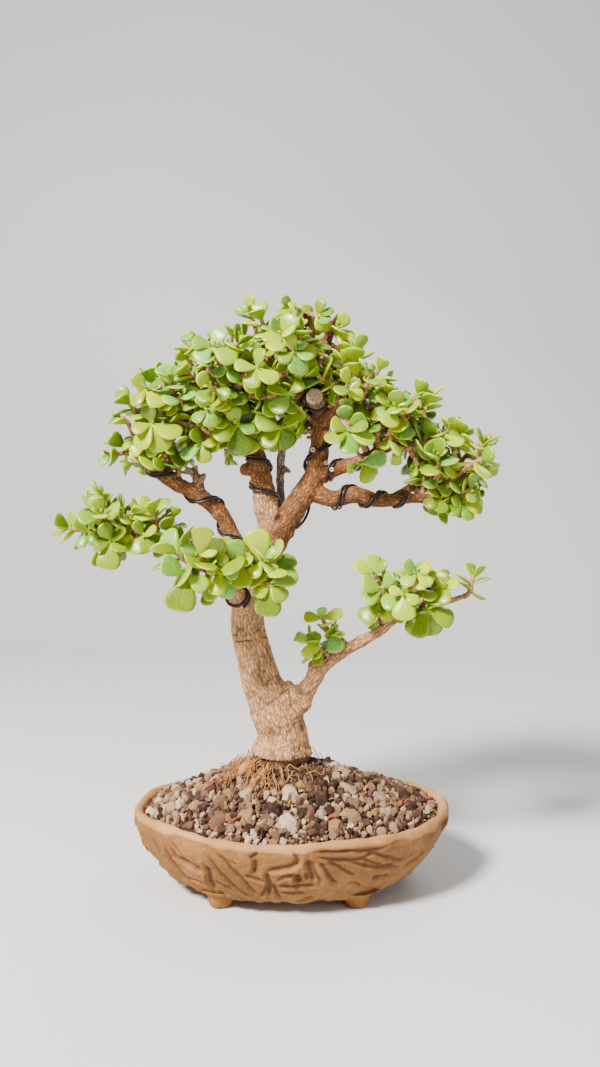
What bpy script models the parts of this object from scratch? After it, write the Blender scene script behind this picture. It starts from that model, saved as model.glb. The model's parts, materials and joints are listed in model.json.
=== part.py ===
# Dwarf jade trained as a bonsai in a hand-built oval pot.
# Metres, +Z up. The pot's length runs along X and the front faces -Y.
# Everything hangs on one empty, which puts the footprint box's middle at the origin.

import math

import bmesh
import bpy
from mathutils import Vector
from mathutils.bvhtree import BVHTree

GAP = 0.0003                  # clearance between touching solids
WELD_TRIES = (4e-6, 1e-6, 2e-7, 1e-8)
BOX_SHIFT = (0.0073, 0.0, 0.0)  # from the pot's middle to the middle of the whole plant's box
RAY_START = 0.0020            # how far outside a limb's nominal skin the bark is looked for

# Pot
POT_HALF = (0.0842, 0.0660)   # outermost half length and half depth
POT_SEGMENTS = 40
OUTER_PROFILE = ((0.660, 0.0045), (0.745, 0.0065), (0.810, 0.0100), (0.888, 0.0175),
                 (0.952, 0.0255), (1.000, 0.0340))
RIM_PROFILE = ((0.995, 0.0385), (0.965, 0.0408), (0.930, 0.0392))
INNER_PROFILE = ((0.915, 0.0330), (0.860, 0.0235), (0.780, 0.0155), (0.700, 0.0105))
FLOOR_TOP = INNER_PROFILE[-1][1]
# The hand-pinched wall strays from its oval: size, lobes and phase of each wave
WOBBLE_OUT = ((0.008, 3, 0.7), (0.006, 7, 2.0))     # as a share of the pot's size
WOBBLE_UP = ((0.0009, 2, 0.5), (0.0007, 5, 1.1))    # in height
FOOT_AT = (0.0335, 0.0360)
FOOT_RADII = (0.0058, 0.0088)
FOOT_TOP = 0.0075
FOOT_SIDES = 9
DRAIN_AT = 0.030
DRAIN_RADIUS = 0.0060
DRAIN_SIDES = 10
DRAIN_TOOL_PAST = 0.010       # how far the drain cutter runs past both faces of the floor
# Main strokes carved in the wall's front: x and height in millimetres at each point
FRONT_STROKES = (
    ((-76, 30), (-71, 24)), ((-62, 29), (-58, 23), (-51, 15), (-43, 11)), ((-57, 27), (-48, 23), (-41, 21)),
    ((-40, 26), (-39, 18), (-37, 12)), ((-35, 28), (-29, 21), (-21, 11)), ((-24, 24), (-17, 14), (-12, 12)),
    ((-17, 33), (-16, 25)), ((-10, 26), (-3, 28), (4, 31)), ((-10, 23), (-10, 11)),
    ((-6, 18), (4, 20), (13, 18)), ((9, 29), (11, 21)), ((14, 31), (18, 24), (24, 17)),
    ((20, 31), (28, 27), (34, 21)), ((34, 30), (44, 26), (55, 25)), ((40, 19), (50, 17)))
STROKE_UNIT = 0.001
# More of them round the ends and the back, by a rule
BACK_STROKES = 13
BACK_FROM = -18.0             # degrees from the pot's right end
BACK_ACROSS = 216.0
BACK_LOW = 0.0135
BACK_RISE = 0.0090
BACK_SPREAD = 0.0060          # how much their heights differ
BACK_REACH = 6.5              # degrees that each one slants to either side
STROKE_RADIUS = 0.0015
STROKE_LIFT = 0.0005          # from the wall's skin out to the middle of the stroke's tool
STROKE_ENDS = 0.6             # share of the radius where a stroke begins and ends
STROKE_SIDES = 4

# Drain screens
SCREEN_SIZE = 0.018
SCREEN_THICKNESS = 0.0012
SCREEN_CELLS = 5

# Soil
SOIL_SEGMENTS = 40
SOIL_RINGS = 6
SOIL_EDGE = 0.0395            # height of the grit at the rim
SOIL_PEAK = 0.0632            # height of the grit at the trunk
SOIL_FALL = 0.85              # how late the mound falls away from the trunk to the rim
LINER_GAP = 0.0002            # added to the clearance all round, where the facets cut corners
GRAIN_RELIEF = 0.0008
GRAIN_HASH = (12.9898, 78.233, 43758.5453)
# The largest stones, spread evenly round the trunk
STONES = 48
STONE_SHARES = (0.19, 0.86)   # nearest the trunk and nearest the rim
STONE_RADIUS = 0.0047
STONE_SPREAD = 0.20           # how much their radii and corners differ, as a share
STONE_HEIGHT = 0.0024
STONE_TILT = 0.0009
STONE_SUNK = 0.0024
STONE_CAP = 0.68              # share of the radius where the top face begins
STONE_SIDES = 5
TRUNK_BASE = 0.0545           # the trunk's foot in its hole
HOLE_FLOOR = TRUNK_BASE - GAP
HOLE_MARGIN = 1.14            # hole's radius over the buried root's
POCKET_DEPTH = 0.0040         # of the cutter that makes room for a drain screen

# Trunk and branches: hand-chosen routes of (x, y, z, radius)
TRUNK_ROUTE = ((-0.0045, 0.0, TRUNK_BASE, 0.0150), (-0.0045, 0.0, 0.0635, 0.0156),
               (-0.0044, 0.0, 0.0680, 0.0170), (-0.0042, 0.0, 0.0722, 0.0150),
               (-0.0040, 0.0, 0.0775, 0.0136),
               (-0.0070, 0.0, 0.0865, 0.0131), (-0.0150, 0.001, 0.1040, 0.0110),
               (-0.0195, 0.002, 0.1200, 0.0099), (-0.0230, 0.001, 0.1370, 0.0093),
               (-0.0210, 0.0, 0.1540, 0.0083), (-0.0125, 0.0, 0.1720, 0.0071),
               (-0.0080, 0.0, 0.1820, 0.0076), (0.0045, 0.0, 0.2020, 0.0066),
               (0.0125, 0.0, 0.2140, 0.0062), (0.0160, 0.001, 0.2320, 0.0055),
               (0.0165, 0.002, 0.2500, 0.0050), (0.0145, 0.003, 0.2720, 0.0043),
               (0.0180, 0.002, 0.2850, 0.0034), (0.0245, 0.0, 0.2990, 0.0023))
HOLE_RADIUS = TRUNK_ROUTE[1][3] * HOLE_MARGIN + 2 * GAP
LIMBS = {
    "left_leader": ((-0.0090, 0.0, 0.1800, 0.0058), (-0.0125, 0.0, 0.1960, 0.0065),
                    (-0.0150, -0.001, 0.2130, 0.0060), (-0.0200, 0.0, 0.2320, 0.0054),
                    (-0.0255, 0.002, 0.2470, 0.0047), (-0.0330, 0.003, 0.2590, 0.0037),
                    (-0.0410, 0.003, 0.2690, 0.0025)),
    "crown_left": ((-0.0190, -0.001, 0.2270, 0.0040), (-0.0330, -0.005, 0.2380, 0.0033),
                   (-0.0490, -0.004, 0.2450, 0.0026), (-0.0640, 0.0, 0.2510, 0.0019)),
    "crown_left_back": ((-0.0215, 0.001, 0.2370, 0.0036), (-0.0300, 0.015, 0.2500, 0.0028),
                        (-0.0400, 0.028, 0.2610, 0.0019)),
    "crown_left_front": ((-0.0260, 0.002, 0.2480, 0.0034), (-0.0330, -0.013, 0.2570, 0.0026),
                         (-0.0400, -0.026, 0.2650, 0.0018)),
    "crown_middle": ((-0.0240, 0.002, 0.2440, 0.0035), (-0.0180, 0.005, 0.2600, 0.0029),
                     (-0.0110, 0.008, 0.2760, 0.0022), (-0.0080, 0.008, 0.2880, 0.0017)),
    "crown_back": ((0.0160, 0.002, 0.2400, 0.0038), (0.0100, 0.017, 0.2540, 0.0031),
                   (0.0030, 0.031, 0.2700, 0.0020)),
    "crown_front": ((0.0150, 0.003, 0.2620, 0.0034), (0.0080, -0.012, 0.2710, 0.0027),
                    (0.0000, -0.026, 0.2790, 0.0018)),
    "crown_right_back": ((0.0165, 0.002, 0.2480, 0.0034), (0.0260, 0.012, 0.2570, 0.0027),
                         (0.0340, 0.022, 0.2650, 0.0018)),
    "crown_right_front": ((0.0160, 0.001, 0.2420, 0.0034), (0.0250, -0.010, 0.2520, 0.0027),
                          (0.0320, -0.020, 0.2600, 0.0018)),
    "apex_twig": ((0.0148, 0.003, 0.2710, 0.0030), (0.0125, 0.0, 0.2860, 0.0026),
                  (0.0088, -0.003, 0.3040, 0.0021)),
    "cut_stub": ((0.0160, 0.002, 0.2530, 0.0052), (0.0145, -0.008, 0.2555, 0.0054),
                 (0.0130, -0.017, 0.2565, 0.0050)),
    "right_low": ((0.0110, 0.0, 0.2080, 0.0052), (0.0230, -0.005, 0.2035, 0.0048),
                  (0.0350, -0.009, 0.2055, 0.0046), (0.0460, -0.010, 0.2025, 0.0040),
                  (0.0620, -0.012, 0.2035, 0.0029), (0.0795, -0.012, 0.2040, 0.0023),
                  (0.0960, -0.008, 0.2110, 0.0017)),
    "right_low_back": ((0.0540, -0.011, 0.2030, 0.0030), (0.0660, 0.001, 0.2100, 0.0024),
                       (0.0790, 0.012, 0.2160, 0.0017)),
    "right_middle": ((0.0140, 0.0, 0.2150, 0.0042), (0.0270, -0.007, 0.2200, 0.0037),
                     (0.0430, -0.010, 0.2260, 0.0030), (0.0580, -0.009, 0.2330, 0.0025),
                     (0.0760, -0.006, 0.2370, 0.0018)),
    "right_middle_back": ((0.0430, -0.010, 0.2260, 0.0028), (0.0520, 0.004, 0.2350, 0.0023),
                          (0.0620, 0.015, 0.2410, 0.0017)),
    "left_up": ((-0.0150, 0.002, 0.1650, 0.0055), (-0.0280, 0.007, 0.1765, 0.0050),
                (-0.0370, 0.006, 0.1945, 0.0046), (-0.0490, 0.003, 0.2055, 0.0044),
                (-0.0635, 0.0, 0.2130, 0.0038), (-0.0760, -0.004, 0.2230, 0.0027),
                (-0.0800, -0.004, 0.2340, 0.0019)),
    "left_low": ((-0.0220, 0.002, 0.1500, 0.0056), (-0.0340, 0.008, 0.1605, 0.0052),
                 (-0.0540, 0.011, 0.1755, 0.0046), (-0.0740, 0.008, 0.1825, 0.0038),
                 (-0.0900, 0.005, 0.1870, 0.0030), (-0.1080, 0.0, 0.1970, 0.0018)),
    "left_low_back": ((-0.0740, 0.008, 0.1825, 0.0030), (-0.0850, 0.016, 0.1880, 0.0024),
                      (-0.0960, 0.021, 0.1920, 0.0017)),
    "left_stub": ((-0.0760, 0.008, 0.1830, 0.0032), (-0.0785, 0.003, 0.1880, 0.0026),
                  (-0.0805, 0.0, 0.1915, 0.0020)),
    "front": ((-0.0235, -0.002, 0.1450, 0.0062), (-0.0262, -0.012, 0.1500, 0.0053),
              (-0.0290, -0.023, 0.1560, 0.0045), (-0.0330, -0.031, 0.1620, 0.0035),
              (-0.0380, -0.037, 0.1650, 0.0026)),
    "front_right": ((-0.0298, -0.0255, 0.1575, 0.0034), (-0.0205, -0.030, 0.1625, 0.0028),
                    (-0.0120, -0.033, 0.1640, 0.0022)),
    "right_base": ((-0.0030, 0.0, 0.0880, 0.0090), (0.0040, -0.001, 0.0950, 0.0076),
                   (0.0095, -0.003, 0.1020, 0.0052), (0.0180, -0.005, 0.1145, 0.0040),
                   (0.0330, -0.008, 0.1250, 0.0033), (0.0470, -0.009, 0.1330, 0.0030),
                   (0.0580, -0.009, 0.1415, 0.0026), (0.0760, -0.009, 0.1465, 0.0020),
                   (0.0930, -0.009, 0.1520, 0.0013)),
    "right_base_back": ((0.0600, -0.009, 0.1425, 0.0022), (0.0690, 0.004, 0.1490, 0.0018),
                        (0.0770, 0.012, 0.1530, 0.0014)),
    "dead_twig": ((-0.0030, 0.003, 0.1900, 0.0030), (-0.0050, 0.010, 0.2040, 0.0025),
                  (-0.0055, 0.011, 0.2190, 0.0023), (-0.0035, 0.011, 0.2330, 0.0021),
                  (0.0060, 0.012, 0.2400, 0.0016)),
}
TRUNK_SIDES = 9
LIMB_SIDES = 7
TWIG_LIMB_SIDES = 5           # for limbs thinner than THIN_LIMB where they leave
THIN_LIMB = 0.0040
TRUNK_STEP = 0.0110
LIMB_STEP = 0.0140
ROOT_LOBES = ((0.07, 5, 0.6), (0.04, 3, 2.2))  # size, lobes and phase of each wave in the root flare
LOBES_END = 0.0950            # the height where the flare is round again
LOBES_FADE = 0.0350

# Training wires: limb, first and last distance along it, turns and the turn they start at
WIRE_RADIUS = 0.0008
WIRE_STANDOFF = 0.0007        # from the bark to the wire's skin, before its chords cut in
WIRE_POINTS = 9               # in each turn
WIRE_SIDES = 4
WIRE_SAMPLE = 0.0010          # between the places along a limb that a coil is measured from
WIRES = {
    "wire_left_leader": ("left_leader", 0.0224, 0.0470, -1.48, 0.958),
    "wire_right_leader": ("trunk", 0.1765, 0.1990, 0.80, 0.250),
    "wire_right_low": ("right_low", 0.0131, 0.0535, -2.42, 0.742),
    "wire_right_middle": ("right_middle", 0.0069, 0.0305, -1.24, 0.548),
    "wire_left_up": ("left_up", 0.0224, 0.0882, -2.49, 0.277),
    "wire_front": ("front", 0.0140, 0.0200, 1.8, 0.20),
}

# Foliage pads: twig tips spread over an ellipsoid, from its top down to the share low
PADS = {
    "crown_left": dict(limbs=("crown_left", "left_up", "crown_left_back"), middle=(-0.066, 0.000, 0.253),
                       reach=(0.021, 0.028, 0.020), sprays=5, low=-0.35, turn=2.6, leaf=0.0130),
    "crown_shoulder": dict(limbs=("left_leader", "crown_left_back", "crown_left_front", "crown_middle"),
                           middle=(-0.036, 0.000, 0.269), reach=(0.025, 0.040, 0.026),
                           sprays=6, low=-0.25, turn=0.4, leaf=0.0130),
    "crown_top": dict(limbs=("crown_middle", "crown_back", "crown_front", "apex_twig", "trunk"),
                      middle=(0.002, 0.000, 0.279), reach=(0.028, 0.042, 0.026),
                      sprays=7, low=-0.25, turn=1.2, leaf=0.0130),
    "crown_right": dict(limbs=("crown_right_back", "crown_right_front", "trunk"),
                        middle=(0.028, 0.000, 0.262), reach=(0.020, 0.034, 0.022),
                        sprays=4, low=-0.25, turn=5.4, leaf=0.0130),
    "right_upper": dict(limbs=("right_middle", "right_middle_back"), middle=(0.059, -0.002, 0.248),
                        reach=(0.018, 0.026, 0.017), sprays=4, low=-0.10, turn=3.6, leaf=0.0130),
    "right_outer": dict(limbs=("right_low", "right_low_back", "right_middle"),
                        middle=(0.085, -0.003, 0.225), reach=(0.021, 0.029, 0.017),
                        sprays=6, low=-0.40, turn=0.9, leaf=0.0132),
    "left_outer": dict(limbs=("left_low", "left_low_back"), middle=(-0.100, 0.001, 0.190),
                       reach=(0.020, 0.022, 0.011), sprays=4, low=-0.35, turn=2.4, leaf=0.0134),
    "left_inner": dict(limbs=("left_low",), middle=(-0.070, 0.004, 0.189),
                       reach=(0.010, 0.014, 0.010), sprays=1, low=0.6, turn=4.0, leaf=0.0136),
    "front_left": dict(limbs=("front",), middle=(-0.047, -0.043, 0.170),
                       reach=(0.012, 0.010, 0.008), sprays=2, low=-0.2, turn=3.3, leaf=0.0180),
    "front_middle": dict(limbs=("front_right", "front"), middle=(-0.014, -0.036, 0.166),
                         reach=(0.013, 0.010, 0.008), sprays=2, low=-0.2, turn=5.2, leaf=0.0160),
    "low_tip": dict(limbs=("right_base",), middle=(0.094, -0.009, 0.158),
                    reach=(0.005, 0.006, 0.006), sprays=1, low=0.5, turn=0.0, leaf=0.0115),
    "low_right": dict(limbs=("right_base", "right_base_back"), middle=(0.064, -0.006, 0.153),
                      reach=(0.018, 0.020, 0.010), sprays=4, low=-0.2, turn=1.0, leaf=0.0136),
    "low_start": dict(limbs=("right_base",), middle=(0.018, -0.007, 0.126),
                      reach=(0.008, 0.008, 0.007), sprays=2, low=0.1, turn=0.8, leaf=0.0118),
}
GOLDEN_ANGLE = math.pi * (3.0 - math.sqrt(5.0))
TIP_LIFT = 0.25               # how far a twig's tip turns up to the light
TIP_TRIES = ((0, 1.0), (24, 1.0), (-24, 1.0), (0, 1.2), (48, 1.05), (-48, 1.05), (0, 0.8))  # turn, stretch
BASE_SPACING = 0.0042         # between the feet of two twigs
SHORTEST_TWIG = 0.0050
SAMPLE_STEP = 0.0020          # between the places where a twig may leave its limb
END_LEAN = 0.3                # least cosine between a limb's end and a twig that carries it on
TWIG_SEAT = 0.0005            # from the bark to the middle of a twig's foot
TWIG_RADII = (0.0014, 0.0011)
TWIG_SIDES = 4
TWIG_RINGS = 4
TWIG_BOW = 0.35               # share of its span that a twig keeps its first and last direction
GUARD_FOOT = 0.3              # share of the seat that the clearance test reaches back
PAIR_SPACING = 0.0036
LEAF_ROOT = 0.0005            # how far past the twig's middle a leaf is rooted
LAST_PAIR = 0.0010            # from a twig's end to its last pair
PAIR_LEAN = (36.0, 62.0, 84.0)  # degrees from the twig to a leaf: the last pair first
PAIR_SIZE = (0.84, 1.0, 0.96)
UP_HINT = Vector((0.31, 0.17, 0.94))  # leaves are turned about their twig from here
LIGHT_PULL = 0.45             # how strongly the leaves' faces turn up to the light
LEAF_WIDTH = 0.82             # share of a leaf's length
LEAF_THICKNESS = 0.0021
LEAF_OUTLINE = ((0.40, 0.35), (0.78, 0.50), (0.985, 0.24))  # distance and half width, as shares
LEAF_CREST = 0.46
TURN_EACH = 2.4               # radians from one twig's leaves to the next twig's
BEND_TRIES = ((0.0, 0.0, 1.0), (-14.0, 0.0, 1.0), (14.0, 0.0, 1.0), (0.0, 22.0, 1.0), (0.0, -22.0, 1.0),
              (-16.0, 24.0, 0.9), (-16.0, -24.0, 0.9), (18.0, 20.0, 0.85), (18.0, -20.0, 0.85),
              (-26.0, 0.0, 0.8), (28.0, 0.0, 0.75))  # lean, turn and size of each try to bend a leaf clear

# Colour, roughness and metallic value of each material
FINISHES = {
    "stoneware": ((0.42, 0.27, 0.13), 0.80, 0.0),
    "grit": ((0.34, 0.27, 0.21), 0.95, 0.0),
    "bark": ((0.40, 0.25, 0.15), 0.90, 0.0),
    "wire": ((0.030, 0.018, 0.014), 0.45, 0.6),
    "leaf": ((0.27, 0.42, 0.06), 0.38, 0.0),
    "screen": ((0.02, 0.02, 0.02), 0.55, 0.0),
}


def clear_scene():
    for old in list(bpy.data.objects):
        bpy.data.objects.remove(old, do_unlink=True)


def finish(name):
    """The named material, made on first use."""
    made = bpy.data.materials.get(name)
    if made:
        return made
    colour, roughness, metallic = FINISHES[name]
    made = bpy.data.materials.new(name)
    made.use_nodes = True
    shader = made.node_tree.nodes["Principled BSDF"]
    shader.inputs["Base Color"].default_value = (*colour, 1.0)
    shader.inputs["Roughness"].default_value = roughness
    shader.inputs["Metallic"].default_value = metallic
    return made


def add_object(name, mesh_or_bmesh, material=None):
    mesh = mesh_or_bmesh
    if isinstance(mesh_or_bmesh, bmesh.types.BMesh):
        mesh = bpy.data.meshes.new(name)
        mesh_or_bmesh.to_mesh(mesh)
        mesh_or_bmesh.free()
    made = bpy.data.objects.new(name, mesh)
    bpy.context.scene.collection.objects.link(made)
    if material:
        mesh.materials.clear()
        mesh.materials.append(finish(material))
    return made


def boolean(host, operation, pieces):
    """Fuse the pieces into host, or cut them out of it, apply the result and drop them."""
    group = bpy.data.collections.new(host.name + "_operands")
    for piece in pieces:
        group.objects.link(piece)
    step = host.modifiers.new(operation.lower(), "BOOLEAN")
    step.operation = operation
    step.operand_type = "COLLECTION"
    step.collection = group
    step.solver = "EXACT"
    graph = bpy.context.evaluated_depsgraph_get()
    result = bpy.data.meshes.new_from_object(host.evaluated_get(graph))
    host.modifiers.clear()
    materials = [slot for slot in host.data.materials]
    host.data = result
    result.materials.clear()
    for material in materials:
        result.materials.append(material)
    for piece in pieces:
        bpy.data.objects.remove(piece, do_unlink=True)
    bpy.data.collections.remove(group)


def tidy(made):
    """Weld what a Boolean left doubled, drop slivers and keep only the largest closed shell."""
    for distance in WELD_TRIES:
        work = bmesh.new()
        work.from_mesh(made.data)
        bmesh.ops.remove_doubles(work, verts=work.verts, dist=distance)
        bmesh.ops.dissolve_degenerate(work, dist=distance, edges=work.edges)
        if all(edge.is_manifold for edge in work.edges):
            break
        work.free()
    waiting = set(work.verts)
    shells = []
    while waiting:
        reached = [waiting.pop()]
        for vert in reached:
            for edge in vert.link_edges:
                other = edge.other_vert(vert)
                if other in waiting:
                    waiting.remove(other)
                    reached.append(other)
        shells.append(reached)
    shells.sort(key=len)
    for scrap in shells[:-1]:
        bmesh.ops.delete(work, geom=scrap, context="VERTS")
    work.to_mesh(made.data)
    work.free()


# Round bodies that follow a route

def smooth_route(points, step):
    """A Catmull-Rom curve through (x, y, z, radius) points, sampled about every step."""
    own = [Vector(point) for point in points]
    own = [2 * own[0] - own[1]] + own + [2 * own[-1] - own[-2]]
    route = []
    for a, b, c, d in zip(own, own[1:], own[2:], own[3:]):
        count = max(1, round((c - b).xyz.length / step))
        for k in range(count):
            t = k / count
            route.append(0.5 * (2 * b + (c - a) * t + (2 * a - 5 * b + 4 * c - d) * t * t
                                + (3 * b - a - 3 * c + d) * t ** 3))
    route.append(own[-2])
    return route


def frames(route, leaving=None):
    """Place, tangent and two sides at each point, without twist. leaving sets the first tangent."""
    places = [point.xyz for point in route]
    tangents = []
    for k in range(len(places)):
        ahead = places[min(k + 1, len(places) - 1)]
        behind = places[max(k - 1, 0)]
        tangents.append((ahead - behind).normalized())
    if leaving:
        tangents[0] = leaving
    side = tangents[0].orthogonal().normalized()
    found = []
    for place, tangent in zip(places, tangents):
        side = (side - tangent * side.dot(tangent)).normalized()
        found.append((place, tangent, side, tangent.cross(side)))
    return found


def add_tube(work, route, sides, relief=None, leaving=None):
    """A closed tube in a bmesh. relief scales the radius by angle and height."""
    rings = []
    for (place, _, side, other), point in zip(frames(route, leaving), route):
        ring = []
        for k in range(sides):
            angle = 2 * math.pi * k / sides
            radius = point.w
            if relief:
                radius *= relief(angle, place.z)
            ring.append(work.verts.new(place + (side * math.cos(angle) + other * math.sin(angle)) * radius))
        rings.append(ring)
    for low, high in zip(rings, rings[1:]):
        for k in range(sides):
            after = (k + 1) % sides
            work.faces.new((low[k], low[after], high[after], high[k]))
    work.faces.new(list(reversed(rings[0])))
    work.faces.new(rings[-1])


def tube(name, route, sides, relief=None, material=None, leaving=None):
    work = bmesh.new()
    add_tube(work, route, sides, relief, leaving)
    return add_object(name, work, material)


# Pot, screens and soil

def oval(work, share, height, segments, lift=None):
    """One ring of the pot's oval at a share of its size. lift(angle) moves it by (share, height)."""
    ring = []
    for k in range(segments):
        angle = 2 * math.pi * k / segments
        d_share, d_height = lift(angle) if lift else (0.0, 0.0)
        size = share + d_share
        ring.append(work.verts.new((POT_HALF[0] * size * math.cos(angle),
                                    POT_HALF[1] * size * math.sin(angle), height + d_height)))
    return ring


def skin(work, rings):
    for low, high in zip(rings, rings[1:]):
        for k in range(len(low)):
            after = (k + 1) % len(low)
            work.faces.new((low[k], low[after], high[after], high[k]))


def waves(table, angle):
    return sum(size * math.sin(lobes * angle + phase) for size, lobes, phase in table)


def wobble_at(height):
    """The wall's wobble: nothing at the flat base, and full at the rim."""
    grown = min(1.0, max(0.0, (height - FLOOR_TOP) / (RIM_PROFILE[0][1] - FLOOR_TOP)))

    def lift(angle):
        return waves(WOBBLE_OUT, angle) * grown, waves(WOBBLE_UP, angle) * grown
    return lift


def share_at(height):
    """The outer wall's share of the pot's size at a height, with its growth for each metre up."""
    line = OUTER_PROFILE + RIM_PROFILE[:1]
    for (share, low), (next_share, high) in zip(line, line[1:]):
        if height <= high:
            break
    slope = (next_share - share) / (high - low)
    return share + slope * (height - low), slope


def wall_point(angle, height, out):
    """A point of the outer wall, moved out along its normal."""
    share, slope = share_at(height)
    d_share, d_height = wobble_at(height)(angle)
    size = share + d_share
    place = Vector((POT_HALF[0] * size * math.cos(angle), POT_HALF[1] * size * math.sin(angle),
                    height + d_height))
    level = Vector((math.cos(angle) / POT_HALF[0], math.sin(angle) / POT_HALF[1], 0.0)).normalized()
    return place + (level - Vector((0, 0, slope * POT_HALF[1]))).normalized() * out


def stroke_routes():
    """Routes of the tools that carve the wall: the front's own ones, then those of the rule."""
    lines = []
    for points in FRONT_STROKES:
        line = []
        for x, height in points:
            height = height * STROKE_UNIT
            line.append((-math.acos(x * STROKE_UNIT / (POT_HALF[0] * share_at(height)[0])), height))
        lines.append(line)
    for k in range(BACK_STROKES):
        angle = math.radians(BACK_FROM + BACK_ACROSS * (k + 0.5) / BACK_STROKES)
        slant = math.radians(BACK_REACH) * (1 if k % 2 else -1)
        low = BACK_LOW + BACK_SPREAD * max(0.0, grain(k, 1))
        rise = BACK_RISE * (1.0 + 0.3 * grain(k, 2))
        lines.append([(angle - slant, low), (angle + slant, low + rise)])
    routes = []
    for line in lines:
        route = []
        for k, (angle, height) in enumerate(line):
            radius = STROKE_RADIUS * (STROKE_ENDS if len(line) > 2 and k in (0, len(line) - 1) else 1.0)
            route.append(Vector((*wall_point(angle, height, STROKE_LIFT * radius / STROKE_RADIUS), radius)))
        routes.append(route)
    return routes


def make_pot():
    work = bmesh.new()
    rings = []
    for share, height in OUTER_PROFILE + RIM_PROFILE + INNER_PROFILE:
        rings.append(oval(work, share, height, POT_SEGMENTS, wobble_at(height)))
    skin(work, rings)
    work.faces.new(list(reversed(rings[0])))
    work.faces.new(rings[-1])
    pot = add_object("pot", work, "stoneware")
    feet = []
    for sign_x in (-1, 1):
        for sign_y in (-1, 1):
            middle = Vector((sign_x * FOOT_AT[0], sign_y * FOOT_AT[1], 0.0))
            route = [Vector((*middle, FOOT_RADII[0])),
                     Vector((middle.x, middle.y, FOOT_TOP, FOOT_RADII[1]))]
            feet.append(tube("foot", route, FOOT_SIDES))
    boolean(pot, "UNION", feet)
    drains = []
    for sign in (-1, 1):
        ends = (-DRAIN_TOOL_PAST, FLOOR_TOP + DRAIN_TOOL_PAST)
        route = [Vector((sign * DRAIN_AT, 0.0, height, DRAIN_RADIUS)) for height in ends]
        drains.append(tube("drain", route, DRAIN_SIDES))
    boolean(pot, "DIFFERENCE", drains)
    boolean(pot, "DIFFERENCE", [tube("stroke", route, STROKE_SIDES) for route in stroke_routes()])
    tidy(pot)
    return pot


def make_screen(name, sign):
    """A square of plastic mesh laid over a drain hole."""
    work = bmesh.new()
    bmesh.ops.create_grid(work, x_segments=SCREEN_CELLS, y_segments=SCREEN_CELLS, size=SCREEN_SIZE / 2)
    pitch = SCREEN_SIZE / SCREEN_CELLS
    holes = []
    for face in work.faces:
        cell = [math.floor((value + SCREEN_SIZE / 2) / pitch) for value in face.calc_center_median().xy]
        if cell[0] % 2 == 1 and cell[1] % 2 == 1:
            holes.append(face)
    bmesh.ops.delete(work, geom=holes, context="FACES")
    top = bmesh.ops.extrude_face_region(work, geom=list(work.faces))
    raised = [item for item in top["geom"] if isinstance(item, bmesh.types.BMVert)]
    bmesh.ops.translate(work, verts=raised, vec=(0, 0, SCREEN_THICKNESS))
    bmesh.ops.recalc_face_normals(work, faces=work.faces)
    bmesh.ops.translate(work, verts=work.verts, vec=(sign * DRAIN_AT, 0.0, FLOOR_TOP + GAP))
    return add_object(name, work, "screen")


def root_lobes(angle, height):
    """The root flare bulges over its main roots and smooths out higher up."""
    fade = min(1.0, max(0.0, (LOBES_END - height) / LOBES_FADE))
    return 1.0 + fade * waves(ROOT_LOBES, angle)


def soil_height(share):
    return SOIL_EDGE + (SOIL_PEAK - SOIL_EDGE) * (1.0 - share ** SOIL_FALL)


def grain(k, ring):
    """A repeatable bump for one soil point, from -1 to 1."""
    value = math.sin(k * GRAIN_HASH[0] + ring * GRAIN_HASH[1]) * GRAIN_HASH[2]
    return 2.0 * (value - math.floor(value)) - 1.0


def soil_point(angle, share):
    """A point of the mound: share 0 at the trunk's hole and 1 at the rim."""
    edge = INNER_PROFILE[0][0] - 2 * (GAP + LINER_GAP) / POT_HALF[1]
    d_share, d_height = wobble_at(SOIL_EDGE)(angle)
    outer = Vector((POT_HALF[0] * math.cos(angle), POT_HALF[1] * math.sin(angle))) * (edge + d_share)
    inner = Vector(TRUNK_ROUTE[0][:2]) + Vector((math.cos(angle), math.sin(angle))) * HOLE_RADIUS
    return Vector((*inner.lerp(outer, share), soil_height(share) + d_height * share))


def make_stone(number):
    """One angular stone, sunk in the mound and tilted its own way."""
    part = (number + 0.5) / STONES
    share = STONE_SHARES[0] + (STONE_SHARES[1] - STONE_SHARES[0]) * (0.35 * part + 0.65 * math.sqrt(part))
    middle = GOLDEN_ANGLE * number
    around = (soil_point(middle, share).xy - Vector(TRUNK_ROUTE[0][:2])).length
    across = (soil_point(middle, 1.0).xy - soil_point(middle, 0.0).xy).length
    radius = STONE_RADIUS * (1.0 + STONE_SPREAD * grain(number, 3))
    height = STONE_HEIGHT + STONE_TILT * grain(number, 4)
    work = bmesh.new()
    rings = ([], [])
    for k in range(STONE_SIDES):
        turn = 2 * math.pi * (k + 0.3 * grain(number, 5 + k)) / STONE_SIDES + number
        corner = radius * (1.0 + STONE_SPREAD * grain(number, 15 + k))
        for ring, size in zip(rings, (1.0, STONE_CAP)):
            place = soil_point(middle + corner * size * math.cos(turn) / around,
                               share + corner * size * math.sin(turn) / across)
            tilt = STONE_TILT * math.cos(turn + 2 * number)
            place.z += height + tilt if ring is rings[1] else -STONE_SUNK
            ring.append(work.verts.new(place))
    skin(work, rings)
    work.faces.new(list(reversed(rings[0])))
    work.faces.new(rings[1])
    bmesh.ops.recalc_face_normals(work, faces=work.faces)
    return add_object("stone", work)


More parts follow.
